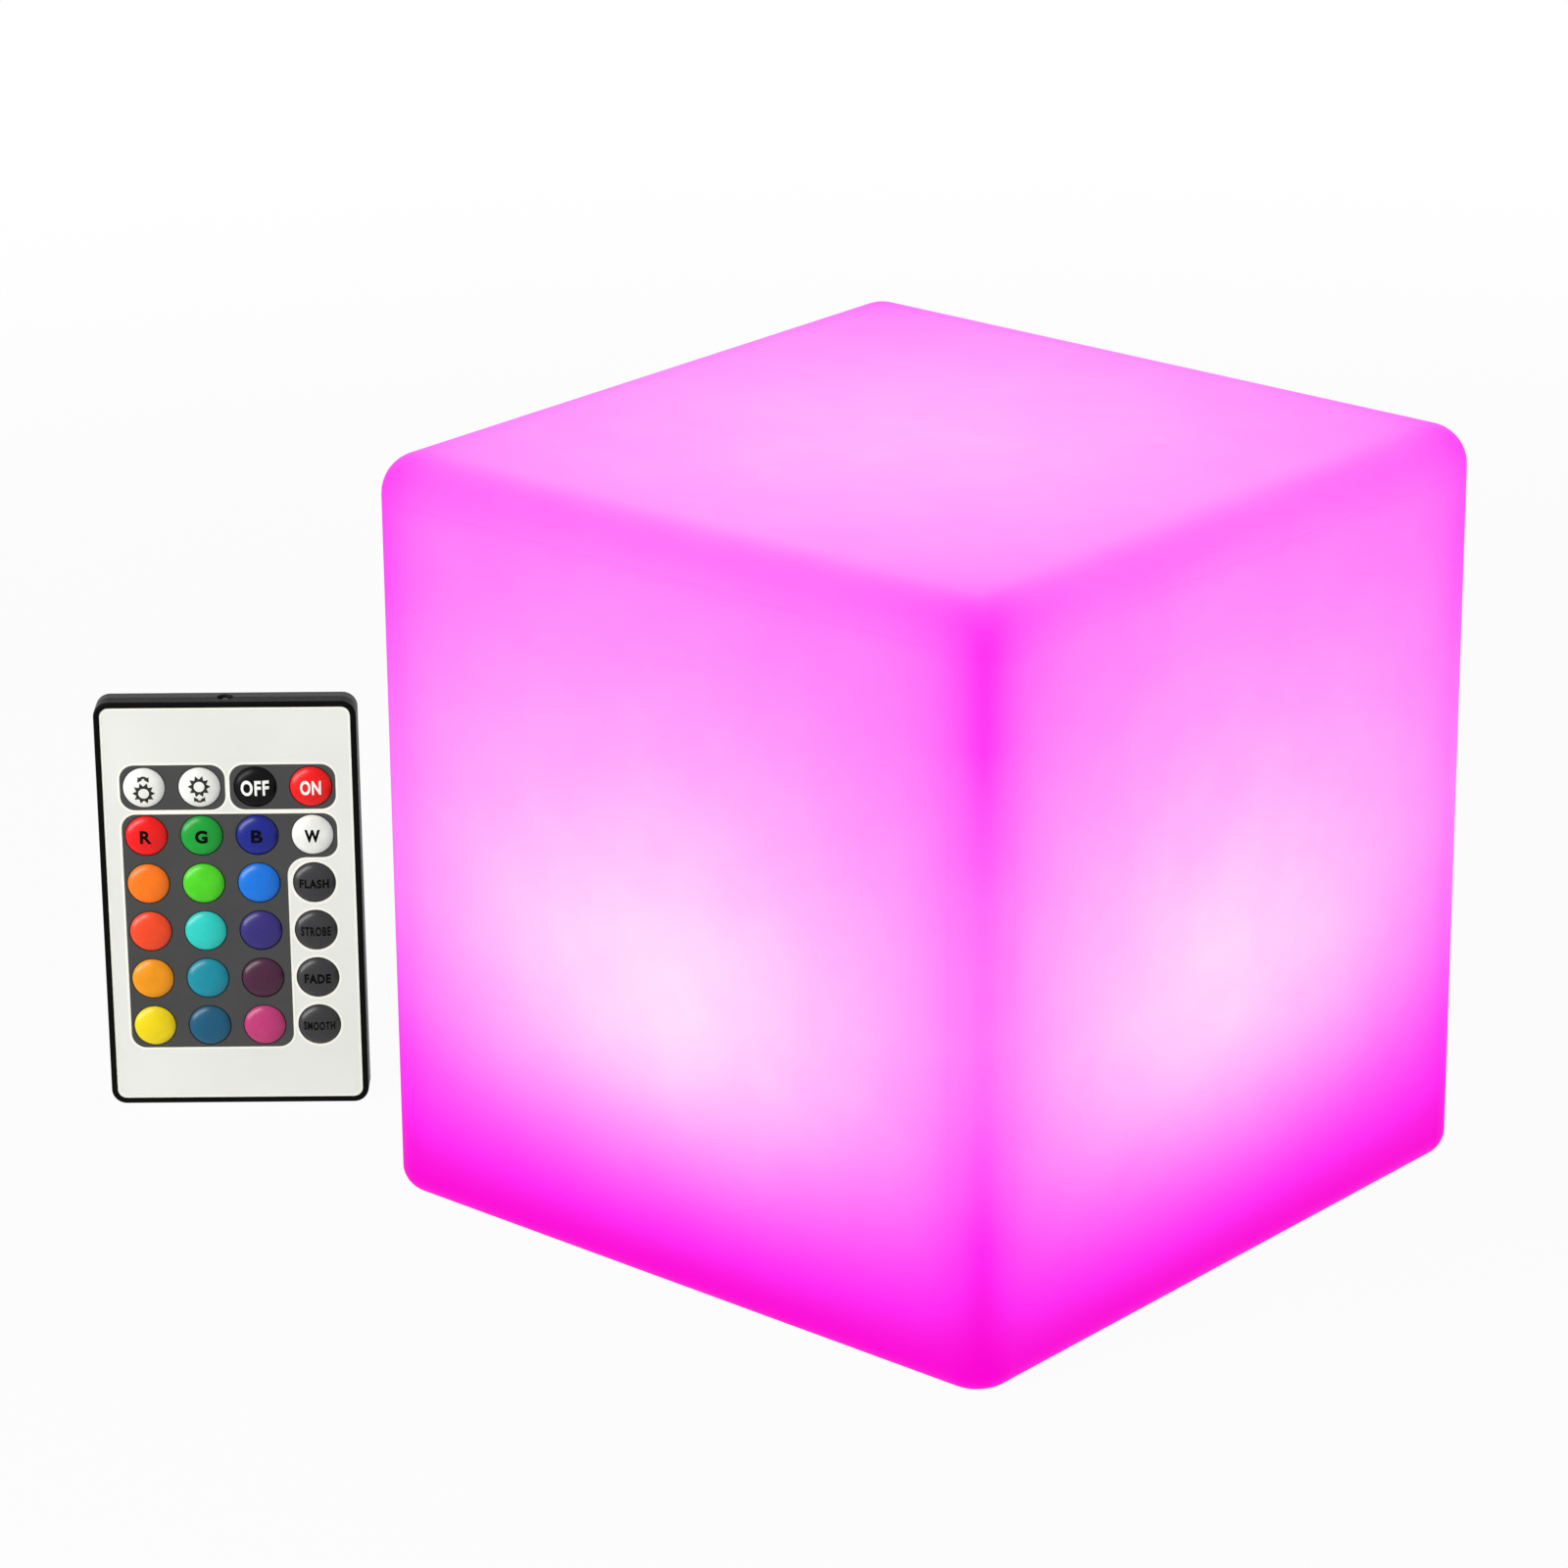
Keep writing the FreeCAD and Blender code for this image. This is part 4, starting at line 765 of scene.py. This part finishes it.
# Charcoal ink screened in one coat: dark, even, a little satin
panelInk = plainSurface("charcoalPanelInk", {
    "colours": ["#414241", "#3D3E3D"], "blotch": 9.0, "grain": 0.8, "depth": 0.004,
    "roughness": (0.42, 0.52), "sockets": {"Specular IOR Level": 0.25}})
# Cream ink over it: warm, nearly white lines. The same cream also paints the highlight along the film's edge
borderInk = plainSurface("creamBorderInk", {
    "colours": ["#F7F6EC", "#F1F0E4"], "blotch": 6.0, "grain": 0.8, "depth": 0.003,
    "roughness": (0.4, 0.5), "sockets": {"Specular IOR Level": 0.3}})


def outlineShape(points, cornerRadius):
    shape = bmesh.new()
    shape.faces.new([shape.verts.new((x, remote["length"] - down, 0)) for x, down in reversed(points)])
    bmesh.ops.bevel(shape, geom=shape.verts[:], offset=cornerRadius, segments=prints["cornerSteps"],
                    profile=0.5, affect="VERTICES", material=-1)
    return shape


# Cuts away what an inset leaves inside its band
def keepBand(shape, band):
    inside = [face for face in shape.faces if face not in band["faces"]]
    bmesh.ops.delete(shape, geom=inside, context="FACES")


# Holes for the keys, through everything that is printed on the film
def keyHoles():
    shape = bmesh.new()
    for x, y in keyPlaces.values():
        place = Matrix.Translation((x, y, remote["filmTop"]))
        bmesh.ops.create_cone(shape, cap_ends=True, segments=roundSteps, radius1=holeRadius,
                              radius2=holeRadius, depth=prints["cutDepth"], matrix=place)
    shape.transform(stand)
    data = bpy.data.meshes.new("keyHoles")
    shape.to_mesh(data)
    shape.free()
    cutter = bpy.data.objects.new("keyHoles", data)
    bpy.context.scene.collection.objects.link(cutter)
    return cutter


def cutHoles(piece, cutter):
    modifier = piece.modifiers.new("holes", "BOOLEAN")
    modifier.operation = "DIFFERENCE"
    modifier.solver = "EXACT"
    modifier.object = cutter
    bpy.context.view_layer.update()
    cut = bpy.data.meshes.new_from_object(piece.evaluated_get(bpy.context.evaluated_depsgraph_get()))
    piece.modifiers.clear()
    piece.data = cut


# The print reaches down into the key holes and paints shade on their walls
low = Matrix.Translation((0, 0, remote["filmTop"] - prints["sunk"]))
inkDepth = prints["thickness"] + prints["sunk"]
cutter = keyHoles()
for name, points in prints["panels"].items():
    shape = outlineShape(points, prints["cornerRadius"])
    band = bmesh.ops.inset_region(shape, faces=shape.faces[:], thickness=prints["border"],
                                  use_boundary=True, use_even_offset=True)
    for face in band["faces"]:
        face.material_index = 1
    thicken(shape, inkDepth)
    piece = makePiece(name, shape, panelInk, "remote", low)
    piece.data.materials.append(borderInk)
    cutHoles(piece, cutter)

# A cream line just inside the black rim: a painted highlight where the film's edge catches the light
side = remote["width"] / 2 - remote["rim"]
topEnd, lowerEnd = remote["rim"], remote["length"] - remote["rim"]
corners = [(-side, topEnd), (side, topEnd), (side, lowerEnd), (-side, lowerEnd)]
edgeHighlight = outlineShape(corners, prints["edgeRadius"])
band = bmesh.ops.inset_region(edgeHighlight, faces=edgeHighlight.faces[:], thickness=prints["edgeHighlight"],
                              use_boundary=True, use_even_offset=True)
keepBand(edgeHighlight, band)
thicken(edgeHighlight, inkDepth)
makePiece("edgeHighlight", edgeHighlight, borderInk, "remote", low)

rings = bmesh.new()
for name in modeKeys:
    place = Matrix.Translation((*keyPlaces[name], 0))
    bmesh.ops.create_circle(rings, cap_ends=True, segments=roundSteps,
                            radius=holeRadius + prints["ringWidth"], matrix=place)
band = bmesh.ops.inset_individual(rings, faces=rings.faces[:], thickness=prints["ringWidth"],
                                  use_even_offset=True)
keepBand(rings, band)
thicken(rings, inkDepth)
makePiece("modeKeyRings", rings, borderInk, "remote", low)
bpy.data.objects.remove(cutter)
print("print on the film is made")

# Moulded on the remote's back: outline of the coin cell, its plus sign, and which way its drawer pulls out
marks = {
    "cellMiddle": 12.4, "cellRadius": 10.2, "line": 0.45, "plus": 3.4, "arrowMiddle": 27.0, "arrow": 2.0,
    "height": 0.1, "sunk": 0.05,
}
# The same ABS from polished places of the mould: smoother than the case round it, so it catches the light
markPaint = plainSurface("polishedBlackAbs", {
    "colours": ["#101011", "#161617"], "blotch": 4.0, "grain": 0.8, "depth": 0.002,
    "roughness": (0.14, 0.22)})
backMarks = bmesh.new()
cellMiddle = Matrix.Translation((0, marks["cellMiddle"], 0))
bmesh.ops.create_circle(backMarks, cap_ends=True, segments=roundSteps, radius=marks["cellRadius"],
                        matrix=cellMiddle)
band = bmesh.ops.inset_individual(backMarks, faces=backMarks.faces[:], thickness=marks["line"],
                                  use_even_offset=True)
keepBand(backMarks, band)
armLength = (marks["plus"] - marks["line"]) / 2
for length, middle in ((marks["plus"], 0.0), (armLength, -armLength), (armLength, armLength)):
    upright = middle == 0.0
    shift = 0.0 if upright else math.copysign((armLength + marks["line"]) / 2, middle)
    halves = (marks["line"] / 2, length / 2) if upright else (length / 2, marks["line"] / 2)
    bar = cellMiddle @ Matrix.Translation((shift, 0, 0)) @ Matrix.Diagonal((*halves, 1, 1))
    bmesh.ops.create_grid(backMarks, x_segments=1, y_segments=1, size=1.0, matrix=bar)
pointDown = Matrix.Rotation(math.pi, 4, "Z") @ Matrix.Scale(marks["arrow"], 4)
addTriangle(backMarks, Matrix.Translation((0, marks["arrowMiddle"], 0)) @ pointDown)
thicken(backMarks, marks["height"] + marks["sunk"])
proud = Matrix.Translation((0, 0, -marks["height"]))
makePiece("backMarks", backMarks, markPaint, "remote", proud)
print("marks on the remote's back are made")
